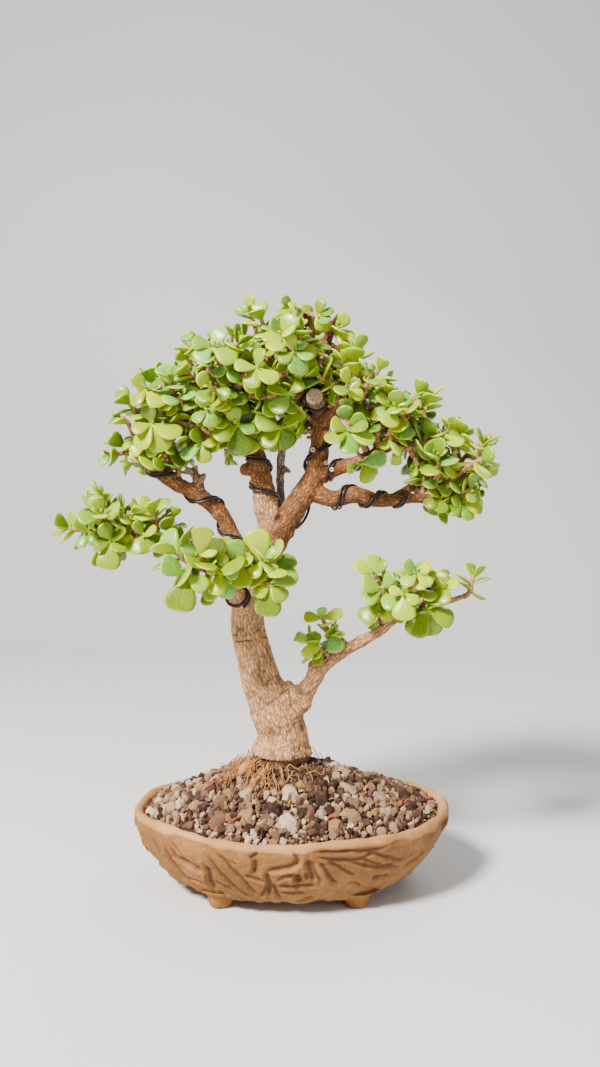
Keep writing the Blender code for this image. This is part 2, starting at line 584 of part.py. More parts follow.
def make_soil():
    """The grit: an inner wall liner below, a stony mound above and a plain hole for the trunk."""
    work = bmesh.new()
    inset = (GAP + LINER_GAP) / POT_HALF[1]
    rings = [oval(work, INNER_PROFILE[-1][0] - inset, FLOOR_TOP + GAP, SOIL_SEGMENTS)]
    for share, height in reversed(INNER_PROFILE[:-1]):
        rings.append(oval(work, share - 2 * inset, height, SOIL_SEGMENTS, wobble_at(height)))
    for ring_index in range(SOIL_RINGS):
        ring = []
        for k in range(SOIL_SEGMENTS):
            place = soil_point(2 * math.pi * k / SOIL_SEGMENTS, 1.0 - ring_index / (SOIL_RINGS - 1))
            place.z += GRAIN_RELIEF * grain(k, ring_index)
            ring.append(work.verts.new(place))
        rings.append(ring)
    rings.append([work.verts.new((*vert.co.xy, HOLE_FLOOR)) for vert in rings[-1]])
    skin(work, rings)
    work.faces.new(list(reversed(rings[0])))
    work.faces.new(rings[-1])
    soil = add_object("soil", work, "grit")
    boolean(soil, "UNION", [make_stone(number) for number in range(STONES)])
    pockets = []
    for sign in (-1, 1):
        half = SCREEN_SIZE / 2 + GAP
        top = FLOOR_TOP + SCREEN_THICKNESS + 2 * GAP
        pocket = bmesh.new()
        bmesh.ops.create_cube(pocket, size=1.0)
        bmesh.ops.scale(pocket, verts=pocket.verts, vec=(2 * half, 2 * half, POCKET_DEPTH))
        middle = (sign * DRAIN_AT, 0.0, top - POCKET_DEPTH / 2)
        bmesh.ops.translate(pocket, verts=pocket.verts, vec=middle)
        pockets.append(add_object("pocket", pocket))
    boolean(soil, "DIFFERENCE", pockets)
    tidy(soil)
    return soil


# Trunk, branches and wires

def limb_routes():
    routes = {"trunk": smooth_route(TRUNK_ROUTE, TRUNK_STEP)}
    for name, points in LIMBS.items():
        routes[name] = smooth_route(points, LIMB_STEP)
    return routes


def make_trunk(routes):
    route = [point.copy() for point in routes["trunk"]]
    trunk = tube("trunk", route, TRUNK_SIDES, root_lobes, "bark", leaving=Vector((0, 0, 1)))
    limbs = []
    for name in LIMBS:
        sides = LIMB_SIDES if LIMBS[name][0][3] > THIN_LIMB else TWIG_LIMB_SIDES
        limbs.append(tube(name, routes[name], sides))
    boolean(trunk, "UNION", limbs)
    tidy(trunk)
    return trunk


def tree_of(made):
    """A search tree over an object's triangles."""
    work = bmesh.new()
    work.from_mesh(made.data)
    tree = BVHTree.FromBMesh(work)
    work.free()
    return tree


def make_wire(name, routes, bark):
    """A wire coiled along a limb, one standoff clear of the bark."""
    limb, first, last, turns, start = WIRES[name]
    line = smooth_route(routes[limb], WIRE_SAMPLE)
    found = frames(line)
    along = [0.0]
    for before, after in zip(found, found[1:]):
        along.append(along[-1] + (after[0] - before[0]).length)
    count = round(abs(turns) * WIRE_POINTS)
    coil = []
    for k in range(count + 1):
        distance = first + (last - first) * k / count
        nearest = min(range(len(along)), key=lambda index: abs(along[index] - distance))
        place, _, side, other = found[nearest]
        angle = 2 * math.pi * (start + turns * k / count)
        out = side * math.cos(angle) + other * math.sin(angle)
        hit = bark.ray_cast(place + out * (line[nearest].w + RAY_START), -out)[0]
        reach = max((hit - place).length, line[nearest].w) if hit else line[nearest].w
        coil.append(Vector((*(place + out * (reach + WIRE_STANDOFF + WIRE_RADIUS)), WIRE_RADIUS)))
    return tube(name, coil, WIRE_SIDES, material="wire")


# Foliage

def pad_tip(pad, number, more_turn, stretch):
    """Tip and heading of one twig, from an even spread over the pad's ellipsoid."""
    height = 1.0 - (number + 0.5) / pad["sprays"] * (1.0 - pad["low"])
    angle = GOLDEN_ANGLE * number + pad["turn"] + math.radians(more_turn)
    rim = math.sqrt(1.0 - height * height)
    heading = Vector((rim * math.cos(angle), rim * math.sin(angle), height))
    reach = Vector([share * size * stretch for share, size in zip(heading, pad["reach"])])
    return Vector(pad["middle"]) + reach, (heading + Vector((0, 0, TIP_LIFT))).normalized()


def add_leaf(work, base, along, face, length, width, thickness):
    """A fleshy leaf: narrow foot, rounded tip, domed on both faces."""
    along = along.normalized()
    face = (face - along * face.dot(along)).normalized()
    across = face.cross(along)
    foot = work.verts.new(base)
    left = []
    right = []
    for distance, half in LEAF_OUTLINE:
        place = base + along * length * distance
        left.append(work.verts.new(place + across * width * half))
        right.append(work.verts.new(place - across * width * half))
    loop = [foot, *right, *reversed(left)]
    for sign in (1, -1):
        crest = work.verts.new(base + along * length * LEAF_CREST + face * sign * thickness / 2)
        for one, two in zip(loop, loop[1:] + loop[:1]):
            work.faces.new((crest, one, two) if sign == 1 else (crest, two, one))


def back_along(route, distance):
    """Place and direction at a distance back from a route's end."""
    for ahead, behind in zip(reversed(route), reversed(route[:-1])):
        step = ahead.xyz - behind.xyz
        if distance <= step.length:
            return ahead.xyz - step.normalized() * distance, step.normalized()
        distance -= step.length
    return None, None


def leaf_pose(route, pair, side, turn, size, bend):
    """Base, direction, face and length of one leaf of a pair, bent by one of BEND_TRIES."""
    place, axis = back_along(route, LAST_PAIR + PAIR_SPACING * pair)
    lean_more, turn_more, size_share = bend
    lean = math.radians(PAIR_LEAN[pair] + lean_more)
    angle = turn + math.pi * side + math.pi / 2 * pair + math.radians(turn_more)
    first = (UP_HINT - axis * axis.dot(UP_HINT)).normalized()
    second = axis.cross(first)
    out = first * math.cos(angle) + second * math.sin(angle)
    along = axis * math.cos(lean) + out * math.sin(lean)
    face = axis * math.sin(lean) - out * math.cos(lean) + Vector((0, 0, LIGHT_PULL))
    return place - along * LEAF_ROOT, along, face, size * PAIR_SIZE[pair] * size_share


class Obstacles:
    """Everything that a new piece of foliage has to stay clear of."""

    def __init__(self):
        self.known = []

    def add(self, made):
        corners = [Vector(corner) for corner in made.bound_box]
        low = Vector([min(corner[axis] for corner in corners) for axis in range(3)])
        high = Vector([max(corner[axis] for corner in corners) for axis in range(3)])
        self.known.append((low, high, tree_of(made)))

    def clear_of(self, work):
        low = Vector([min(vert.co[axis] for vert in work.verts) for axis in range(3)])
        high = Vector([max(vert.co[axis] for vert in work.verts) for axis in range(3)])
        tree = None
        for other_low, other_high, other in self.known:
            if any(low[axis] > other_high[axis] or high[axis] < other_low[axis] for axis in range(3)):
                continue
            tree = tree or BVHTree.FromBMesh(work)
            if tree.overlap(other):
                return False
        return True


def twig_route(start, out, tip, heading):
    """A twig that leaves its limb along out and arrives at its tip along heading."""
    span = (tip - start).length
    early = start + out * span * TWIG_BOW
    late = tip - heading * span * TWIG_BOW
    route = []
    for k in range(TWIG_RINGS):
        t = k / (TWIG_RINGS - 1)
        place = (start * (1 - t) ** 3 + early * 3 * t * (1 - t) ** 2
                 + late * 3 * t * t * (1 - t) + tip * t ** 3)
        radius = TWIG_RADII[0] + (TWIG_RADII[1] - TWIG_RADII[0]) * t
        route.append(Vector((*place, radius)))
    return route


def guarded_twig(route, out):
    """A twig that grows one gap fatter past its foot, for the clearance test."""
    work = bmesh.new()
    foot = Vector((*(route[0].xyz - out * TWIG_SEAT * GUARD_FOOT), route[0].w))
    fat = [Vector((*point.xyz, point.w + GAP)) for point in route[1:]]
    add_tube(work, [foot] + fat, TWIG_SIDES, leaving=out)
    return work


def find_twig(tip, heading, limb_samples, used, bark, obstacles):
    """The nearest free place on the limbs that a clear twig can grow from."""
    choices = sorted(limb_samples, key=lambda sample: (sample[0].xyz - tip).length)
    for point, tangent, at_end in choices:
        if any((point.xyz - other).length < BASE_SPACING for other in used):
            continue
        way = tip - point.xyz
        if way.length < SHORTEST_TWIG:
            continue
        if at_end and way.dot(tangent) > END_LEAN * way.length:
            out = tangent
            hit = point.xyz
        else:
            out = (way - tangent * way.dot(tangent)).normalized()
            hit = bark.ray_cast(point.xyz + out * (point.w + RAY_START), -out)[0]
        if not hit:
            continue
        start = hit + out * TWIG_SEAT
        route = twig_route(start, out, tip, heading)
        guard = guarded_twig(route, out)
        clear = obstacles.clear_of(guard)
        guard.free()
        if clear:
            used.append(point.xyz)
            return route, out
    return None, None


def grow_leaf(route, pair, side, turn, size, obstacles):
    """One leaf, bent the first way that keeps it clear, or none."""
    for bend in BEND_TRIES:
        base, along, face, length = leaf_pose(route, pair, side, turn, size, bend)
        guard = bmesh.new()
        add_leaf(guard, base - along * GAP, along, face, length + 3 * GAP,
                 length * LEAF_WIDTH + 4 * GAP, LEAF_THICKNESS + 3 * GAP)
        clear = obstacles.clear_of(guard)
        guard.free()
        if clear:
            work = bmesh.new()
            add_leaf(work, base, along, face, length, length * LEAF_WIDTH, LEAF_THICKNESS)
            return add_object("leaf", work)
    return None


def grow_spray(name, number, route, out, size, obstacles):
    """A leafy stem: a twig with opposite pairs of leaves, each pair a quarter turn on."""
    spray = tube(name, route, TWIG_SIDES, material="leaf", leaving=out)
    length = sum((after.xyz - before.xyz).length for before, after in zip(route, route[1:]))
    leaves = []
    for pair in range(len(PAIR_LEAN)):
        if LAST_PAIR + PAIR_SPACING * (pair + 0.5) > length:
            break
        for side in (0, 1):
            leaf = grow_leaf(route, pair, side, TURN_EACH * number, size, obstacles)
            if leaf:
                leaves.append(leaf)
    boolean(spray, "UNION", leaves)
    tidy(spray)
    return spray


def sample_limbs(names, routes):
    """Places along some limbs where a twig may leave, with the limb's direction there."""
    samples = []
    for name in names:
        for before, after in zip(routes[name], routes[name][1:]):
            step = (after - before).xyz
            count = math.ceil(step.length / SAMPLE_STEP)
            for k in range(count):
                samples.append((before.lerp(after, k / count), step.normalized(), False))
        samples.append((after, step.normalized(), True))
    return samples


def make_foliage(routes, bark, obstacles):
    sprays = []
    used = []
    for pad_name, pad in PADS.items():
        samples = sample_limbs(pad["limbs"], routes)
        for number in range(pad["sprays"]):
            name = "spray_{}_{}".format(pad_name, number + 1)
            for more_turn, stretch in TIP_TRIES:
                tip, heading = pad_tip(pad, number, more_turn, stretch)
                route, out = find_twig(tip, heading, samples, used, bark, obstacles)
                if route:
                    break
            if not route:
                print("no free place for", name)
                continue
            spray = grow_spray(name, len(sprays), route, out, pad["leaf"], obstacles)
            obstacles.add(spray)
            sprays.append(spray)
    return sprays


def build():
    clear_scene()
    stand = bpy.data.objects.new("plant", None)
    bpy.context.scene.collection.objects.link(stand)
    stand.location = BOX_SHIFT
    made = [make_pot(), make_soil()]
    made += [make_screen("drain_screen_left", -1), make_screen("drain_screen_right", 1)]
    routes = limb_routes()
    trunk = make_trunk(routes)
    made.append(trunk)
    bark = tree_of(trunk)
    for name in WIRES:
        made.append(make_wire(name, routes, bark))
    obstacles = Obstacles()
    for piece in made:
        obstacles.add(piece)
    made += make_foliage(routes, bark, obstacles)
    for piece in made:
        piece.parent = stand


build()
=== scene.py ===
import json
import math
import random
from math import cos, pi, sin

import bmesh
import bpy
import numpy as np
from mathutils import Matrix, Vector, noise
from mathutils.bvhtree import BVHTree
from mathutils.kdtree import KDTree

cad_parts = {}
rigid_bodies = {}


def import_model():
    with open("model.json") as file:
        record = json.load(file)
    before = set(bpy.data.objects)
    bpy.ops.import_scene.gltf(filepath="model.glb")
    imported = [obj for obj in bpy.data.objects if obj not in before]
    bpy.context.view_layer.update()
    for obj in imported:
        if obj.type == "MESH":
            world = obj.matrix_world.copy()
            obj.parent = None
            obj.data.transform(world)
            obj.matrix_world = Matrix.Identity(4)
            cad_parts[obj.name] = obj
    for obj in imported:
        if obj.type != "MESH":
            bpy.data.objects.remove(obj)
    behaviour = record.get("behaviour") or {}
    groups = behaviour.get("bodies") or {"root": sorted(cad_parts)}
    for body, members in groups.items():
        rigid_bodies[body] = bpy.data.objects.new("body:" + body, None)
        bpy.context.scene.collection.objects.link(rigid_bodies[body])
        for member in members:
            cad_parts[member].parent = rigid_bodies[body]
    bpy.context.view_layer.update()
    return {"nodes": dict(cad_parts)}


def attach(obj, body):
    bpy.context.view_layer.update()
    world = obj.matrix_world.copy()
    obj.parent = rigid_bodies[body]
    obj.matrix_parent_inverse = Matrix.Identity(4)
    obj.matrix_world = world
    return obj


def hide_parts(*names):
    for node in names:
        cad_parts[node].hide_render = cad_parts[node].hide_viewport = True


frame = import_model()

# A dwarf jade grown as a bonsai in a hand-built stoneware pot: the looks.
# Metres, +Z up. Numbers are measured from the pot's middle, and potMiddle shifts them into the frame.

potMiddle = Vector((0.0073, 0.0, 0.0))  # from the frame's origin
gap = 0.0003                            # clearance that the solids keep
goldenAngle = pi * (3.0 - math.sqrt(5.0))
up = Vector((0.0, 0.0, 1.0))


# Node trees

class Value:
    # a socket that Python's own operators work on
    def __init__(self, tree, socket):
        self.tree = tree
        self.socket = socket

    def maths(self, operation, first, second=0.0):
        return self.tree.node("ShaderNodeMath", {"operation": operation}, {0: first, 1: second})

    def __add__(self, other):
        return self.maths("ADD", self, other)

    def __radd__(self, other):
        return self.maths("ADD", other, self)

    def __sub__(self, other):
        return self.maths("SUBTRACT", self, other)

    def __rsub__(self, other):
        return self.maths("SUBTRACT", other, self)

    def __mul__(self, other):
        return self.maths("MULTIPLY", self, other)

    def __rmul__(self, other):
        return self.maths("MULTIPLY", other, self)

    def __abs__(self):
        return self.maths("ABSOLUTE", self)


class NodeTree:
    # a shader or geometry tree, with one way to add any node
    def __init__(self, tree):
        self.tree = tree

    def feed(self, socket, value):
        if isinstance(value, Value):
            self.tree.links.new(value.socket, socket)
        elif socket.type == "RGBA":
            socket.default_value = (*value[:3], 1.0)
        else:
            socket.default_value = value

    def node(self, kind, settings=None, values=None, out=0):
        made = self.tree.nodes.new(kind)
        for name, setting in (settings or {}).items():
            if name == "stops":
                self.setStops(made.color_ramp, setting)
            else:
                setattr(made, name, setting)
        for key, value in (values or {}).items():
            self.feed(made.inputs[key], value)
        return Value(self, made.outputs[out])

    def stored(self, name, kind="FLOAT"):
        return self.node("GeometryNodeInputNamedAttribute", {"data_type": kind}, {"Name": name})

    def setStops(self, ramp, stops):
        while len(ramp.elements) < len(stops):
            ramp.elements.new(1.0)
        for element, (place, colour) in zip(ramp.elements, stops):
            element.position = place
            element.color = (*colour, 1.0)


class Finish(NodeTree):
    # a material, built round one Principled shader
    def __init__(self, name, **shader):
        self.material = bpy.data.materials.new(name)
        self.material.use_nodes = True
        super().__init__(self.material.node_tree)
        self.shader = self.tree.nodes["Principled BSDF"]
        self.set(**shader)

    def set(self, **shader):
        for name, value in shader.items():
            self.feed(self.shader.inputs[name.replace("_", " ")], value)

    def place(self, stretch=(1.0, 1.0, 1.0)):
        return self.stretched(self.node("ShaderNodeTexCoord", out="Object"), stretch)

    def stretched(self, place, sizes):
        return self.node("ShaderNodeMapping", None, {"Vector": place, "Scale": sizes})

    def own(self, name, out="Fac"):
        return self.node("ShaderNodeAttribute", {"attribute_name": name}, out=out)

    def noise(self, place, scale, detail=2.0, roughness=0.5, out="Fac"):
        values = {"Vector": place, "Scale": scale, "Detail": detail, "Roughness": roughness}
        return self.node("ShaderNodeTexNoise", None, values, out)

    def cells(self, place, scale, feature="F1"):
        values = {"Vector": place, "Scale": scale}
        return self.node("ShaderNodeTexVoronoi", {"feature": feature}, values, "Distance")

    def rise(self, value, low, high):
        # 0 below low, 1 above high and smooth between, or the other way round
        values = {"Value": value, "From Min": low, "From Max": high, "To Min": 0.0, "To Max": 1.0}
        return self.node("ShaderNodeMapRange", {"interpolation_type": "SMOOTHSTEP"}, values)

    def mix(self, share, first, second):
        return self.node("ShaderNodeMix", {"data_type": "RGBA"}, {0: share, 6: first, 7: second}, 2)

    def layers(self, colour, *layers):
        # lays each (share, colour) over what is there
        for share, over in layers:
            colour = self.mix(share, colour, over)
        return colour

    def ramp(self, value, *stops, steps="LINEAR"):
        # each stop is a place and the colour's red, green and blue
        stops = [(place, tone(*colour)) for place, *colour in stops]
        made = self.node("ShaderNodeValToRGB", {"stops": stops}, {"Fac": value})
        made.socket.node.color_ramp.interpolation = steps
        return made

    def shift(self, place, direction, strength):
        # moves a pattern's place by a noise colour, so that its lines wander
        middle = self.node("ShaderNodeVectorMath", {"operation": "SUBTRACT"},
                           {0: direction, 1: (0.5, 0.5, 0.5)})
        values = {0: middle, 1: (strength, strength, strength), 2: place}
        return self.node("ShaderNodeVectorMath", {"operation": "MULTIPLY_ADD"}, values)

    def bump(self, height, strength, distance, under=None):
        values = {"Height": height, "Strength": strength, "Distance": distance}
        if under:
            values["Normal"] = under
        return self.node("ShaderNodeBump", None, values)


def tone(red, green, blue):
    # a colour as seen on screen, 0 to 255, turned linear
    linear = []
    for part in (red, green, blue):
        part /= 255
        linear.append(part / 12.92 if part <= 0.04045 else ((part + 0.055) / 1.055) ** 2.4)
    return tuple(linear)


# Meshes

def metres(millimetres):
    # a number or a table of numbers, turned from millimetres into metres
    if isinstance(millimetres, (tuple, list)):
        return tuple(metres(part) for part in millimetres)
    return round(millimetres * 0.001, 7)


def addObject(name, data):
    made = bpy.data.objects.new(name, data)
    bpy.context.scene.collection.objects.link(made)
    return made


def addMesh(name, points, faces, own=None, edges=(), middle=potMiddle):
    # a new object whose points are measured from the pot's middle; own holds its points' attributes
    mesh = bpy.data.meshes.new(name)
    mesh.from_pydata([Vector(point) + middle for point in points], edges, faces)
    for attribute, values in (own or {}).items():
        storeValues(mesh, attribute, values)
    smooth(mesh)
    return addObject(name, mesh)


def smooth(mesh):
    mesh.polygons.foreach_set("use_smooth", [True] * len(mesh.polygons))


def storeValues(mesh, name, values):
    # one number or one vector for each point
    values = np.asarray(values, np.float32)
    kind, field = ("FLOAT", "value") if values.ndim == 1 else ("FLOAT_VECTOR", "vector")
    mesh.attributes.new(name, kind, "POINT").data.foreach_set(field, values.ravel())


def applyModifiers(made):
    old = made.data
    made.data = bpy.data.meshes.new_from_object(made.evaluated_get(bpy.context.evaluated_depsgraph_get()))
    made.modifiers.clear()
    bpy.data.meshes.remove(old)
    return made


def vectorsOf(items, name):
    found = np.zeros(len(items) * 3, np.float32)
    items.foreach_get(name, found)
    return found.reshape(-1, 3).astype(float)


def pointsOf(mesh):
    # from the pot's middle
    return vectorsOf(mesh.vertices, "co") - np.array(potMiddle)


def skinOf(mesh):
    # a tree that rays can be cast at
    return BVHTree.FromPolygons([Vector(point) for point in pointsOf(mesh)],
                                [tuple(face.vertices) for face in mesh.polygons])


def ringAngles(count):
    return [2 * pi * k / count for k in range(count)]


def bandFaces(rows, count):
    # quads between closed rows of points
    return [(row * count + k, row * count + (k + 1) % count, (row + 1) * count + (k + 1) % count,
             (row + 1) * count + k) for row in range(rows - 1) for k in range(count)]


def closedFaces(rows, count):
    # the same, with a face over each end
    ends = [tuple(reversed(range(count))), tuple(range((rows - 1) * count, rows * count))]
    return bandFaces(rows, count) + ends


def noiseAt(places, size):
    # one noise value, about -1 to 1, for each place
    return np.array([noise.noise(place) for place in (np.asarray(places) / size).tolist()])


def smoothStep(low, high, values):
    share = np.clip((np.asarray(values, float) - low) / (high - low), 0.0, 1.0)
    return share * share * (3.0 - 2.0 * share)


def finishPiece(made, slot, *nodes):
    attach(made, "root")
    if nodes:
        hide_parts(*nodes)
    return made


# Round bodies that follow a route of (x, y, z, radius)

def smoothRoute(points, step):
    own = [Vector(point) for point in points]
    own = [2 * own[0] - own[1]] + own + [2 * own[-1] - own[-2]]
    route = []
    for a, b, c, d in zip(own, own[1:], own[2:], own[3:]):
        count = max(1, round((c - b).xyz.length / step))
        for k in range(count):
            t = k / count
            route.append(0.5 * (2 * b + (c - a) * t + (2 * a - 5 * b + 4 * c - d) * t * t
                                + (3 * b - a - 3 * c + d) * t ** 3))
    route.append(own[-2])
    return route


def framesAlong(route, leaving=None):
    # place, direction and two sides at each point, without twist
    places = [point.xyz for point in route]
    tangents = []
    for k in range(len(places)):
        ahead = places[min(k + 1, len(places) - 1)]
        behind = places[max(k - 1, 0)]
        tangents.append((ahead - behind).normalized())
    if leaving:
        tangents[0] = leaving
    side = tangents[0].orthogonal().normalized()
    found = []
    for place, tangent in zip(places, tangents):
        side = (side - tangent * side.dot(tangent)).normalized()
        found.append((place, tangent, side, tangent.cross(side)))
    return found


def tubePart(route, sides, leaving=None):
    points = []
    for (place, _, side, other), point in zip(framesAlong(route, leaving), route):
        for angle in ringAngles(sides):
            points.append(place + (side * cos(angle) + other * sin(angle)) * point.w)
    return points, closedFaces(len(route), sides)


def joinParts(parts):
    points = []
    faces = []
    for partPoints, partFaces in parts:
        first = len(points)
        points += partPoints
        faces += [tuple(first + k for k in face) for face in partFaces]
    return points, faces


def ballPart(middle, radius):
    work = bmesh.new()
    bmesh.ops.create_icosphere(work, subdivisions=3, radius=1.0)
    points = [Vector(middle) + Vector([share * radius for share in vert.co]) for vert in work.verts]
    faces = [tuple(vert.index for vert in face.verts) for face in work.faces]
    work.free()
    return points, faces


# Geometry Nodes: strands swept along lines, shapes put on points, and grains scattered on a surface

def geometryTree(name, inputs):
    group = bpy.data.node_groups.new(name, "GeometryNodeTree")
    group.interface.new_socket("Geometry", in_out="INPUT", socket_type="NodeSocketGeometry")
    identifiers = {}
    for label, kind, default in inputs:
        made = group.interface.new_socket(label, in_out="INPUT", socket_type="NodeSocket" + kind)
        if default is not None:
            made.default_value = default
        identifiers[label] = made.identifier
    group.interface.new_socket("Geometry", in_out="OUTPUT", socket_type="NodeSocketGeometry")
    tree = NodeTree(group)
    enter = group.nodes.new("NodeGroupInput")
    given = {socket.name: Value(tree, socket) for socket in enter.outputs if socket.name}
    return tree, given, identifiers


def closeTree(tree, geometry, material):
    geometry = tree.node("GeometryNodeRealizeInstances", None, {"Geometry": geometry})
    geometry = tree.node("GeometryNodeSetMaterial", None, {"Geometry": geometry, "Material": material})
    leave = tree.tree.nodes.new("NodeGroupOutput")
    tree.feed(leave.inputs[0], geometry)


def runTree(made, tree, identifiers, values):
    # gives the tree its inputs, applies it and leaves a plain mesh
    step = made.modifiers.new("nodes", "NODES")
    step.node_group = tree.tree
    for label, value in values.items():
        step[identifiers[label]] = value
    return applyModifiers(made)


def makeStrandTree():
    tree, given, identifiers = geometryTree("strands", (("Sides", "Int", 8), ("Material", "Material", None)))
    radius = tree.stored("strandRadius")
    curve = tree.node("GeometryNodeMeshToCurve", None, {"Mesh": given["Geometry"]})
    ring = tree.node("GeometryNodeCurvePrimitiveCircle", {"mode": "RADIUS"},
                     {"Resolution": given["Sides"], "Radius": 1.0})
    swept = tree.node("GeometryNodeCurveToMesh", None,
                      {"Curve": curve, "Profile Curve": ring, "Scale": radius, "Fill Caps": True})
    closeTree(tree, swept, given["Material"])
    return tree, identifiers


def placeShapes(tree, given, points, kind, turn, size):
    # one of the shapes on each point
    shapes = tree.node("GeometryNodeCollectionInfo", None,
                       {"Collection": given["Shapes"], "Separate Children": True, "Reset Children": True})
    turn = tree.node("FunctionNodeEulerToRotation", None, {"Euler": turn})
    values = {"Points": points, "Instance": shapes, "Pick Instance": True, "Instance Index": kind,
              "Rotation": turn, "Scale": size}
    return tree.node("GeometryNodeInstanceOnPoints", None, values)


def makeShapeTree():
    inputs = (("Shapes", "Collection", None), ("Material", "Material", None))
    tree, given, identifiers = geometryTree("shapesOnPoints", inputs)
    placed = placeShapes(tree, given, given["Geometry"], tree.stored("shapeKind", "INT"),
                         tree.stored("shapeTurn", "FLOAT_VECTOR"), tree.stored("shapeSize", "FLOAT_VECTOR"))
    closeTree(tree, placed, given["Material"])
    return tree, identifiers


def makeGrainTree():
    inputs = (("Shapes", "Collection", None), ("Apart", "Float", 0.003), ("Smallest", "Float", 0.002),
              ("Largest", "Float", 0.004), ("Sunk", "Float", 0.0), ("Seed", "Int", 1), ("Kinds", "Int", 8),
              ("Material", "Material", None))
    tree, given, identifiers = geometryTree("grains", inputs)

    def drawn(low, high, kind, more, out):
        keys = {"FLOAT": (2, 3), "FLOAT_VECTOR": (0, 1), "INT": (4, 5)}[kind]
        values = {keys[0]: low, keys[1]: high, "Seed": given["Seed"] + more}
        return tree.node("FunctionNodeRandomValue", {"data_type": kind}, values, out)

    scatter = {"Mesh": given["Geometry"], "Distance Min": given["Apart"], "Density Max": 4e6,
               "Density Factor": tree.stored("grainZone"), "Seed": given["Seed"]}
    points = tree.node("GeometryNodeDistributePointsOnFaces", {"distribute_method": "POISSON"}, scatter)
    full = 2 * pi
    size = drawn(0.0, 1.0, "FLOAT", 2, 1)
    size = given["Smallest"] + size * size * (given["Largest"] - given["Smallest"])
    placed = placeShapes(tree, given, points, drawn(0, given["Kinds"] - 1, "INT", 3, 2),
                         drawn((0, 0, 0), (full, full, full), "FLOAT_VECTOR", 1, 0), size)
    drop = tree.node("ShaderNodeCombineXYZ", None, {"Z": given["Sunk"] * -1.0})
    placed = tree.node("GeometryNodeTranslateInstances", None,
                       {"Instances": placed, "Translation": drop, "Local Space": False})
    placed = tree.node("GeometryNodeStoreNamedAttribute", {"data_type": "FLOAT", "domain": "INSTANCE"},
                       {"Geometry": placed, "Name": "stoneTone", "Value": drawn(0.0, 1.0, "FLOAT", 4, 1)})
    closeTree(tree, placed, given["Material"])
    return tree, identifiers


strandTree = makeStrandTree()
shapeTree = makeShapeTree()


def addStrands(name, routes, sides, material, own=None):
    # sweeps every route into one piece; own holds one value for each point, by attribute
    points = [point for route in routes for point in route]
    edges = []
    first = 0
    for route in routes:
        edges += [(first + k, first + k + 1) for k in range(len(route) - 1)]
        first += len(route)
    own = {"strandRadius": [point.w for point in points], **(own or {})}
    made = addMesh(name, [point.xyz for point in points], [], own, edges)
    runTree(made, *strandTree, {"Sides": sides, "Material": material})
    smooth(made.data)
    return made


def shapeCollection(name, shapes):
    holder = bpy.data.collections.new(name)
    for shape in shapes:
        holder.objects.link(shape)
        bpy.context.scene.collection.objects.unlink(shape)
    return holder


def dropCollection(holder):
    for shape in list(holder.objects):
        bpy.data.objects.remove(shape, do_unlink=True)
    bpy.data.collections.remove(holder)


# Tree: the routes of its wood, as the solids have them, in millimetres: x, y, z and radius

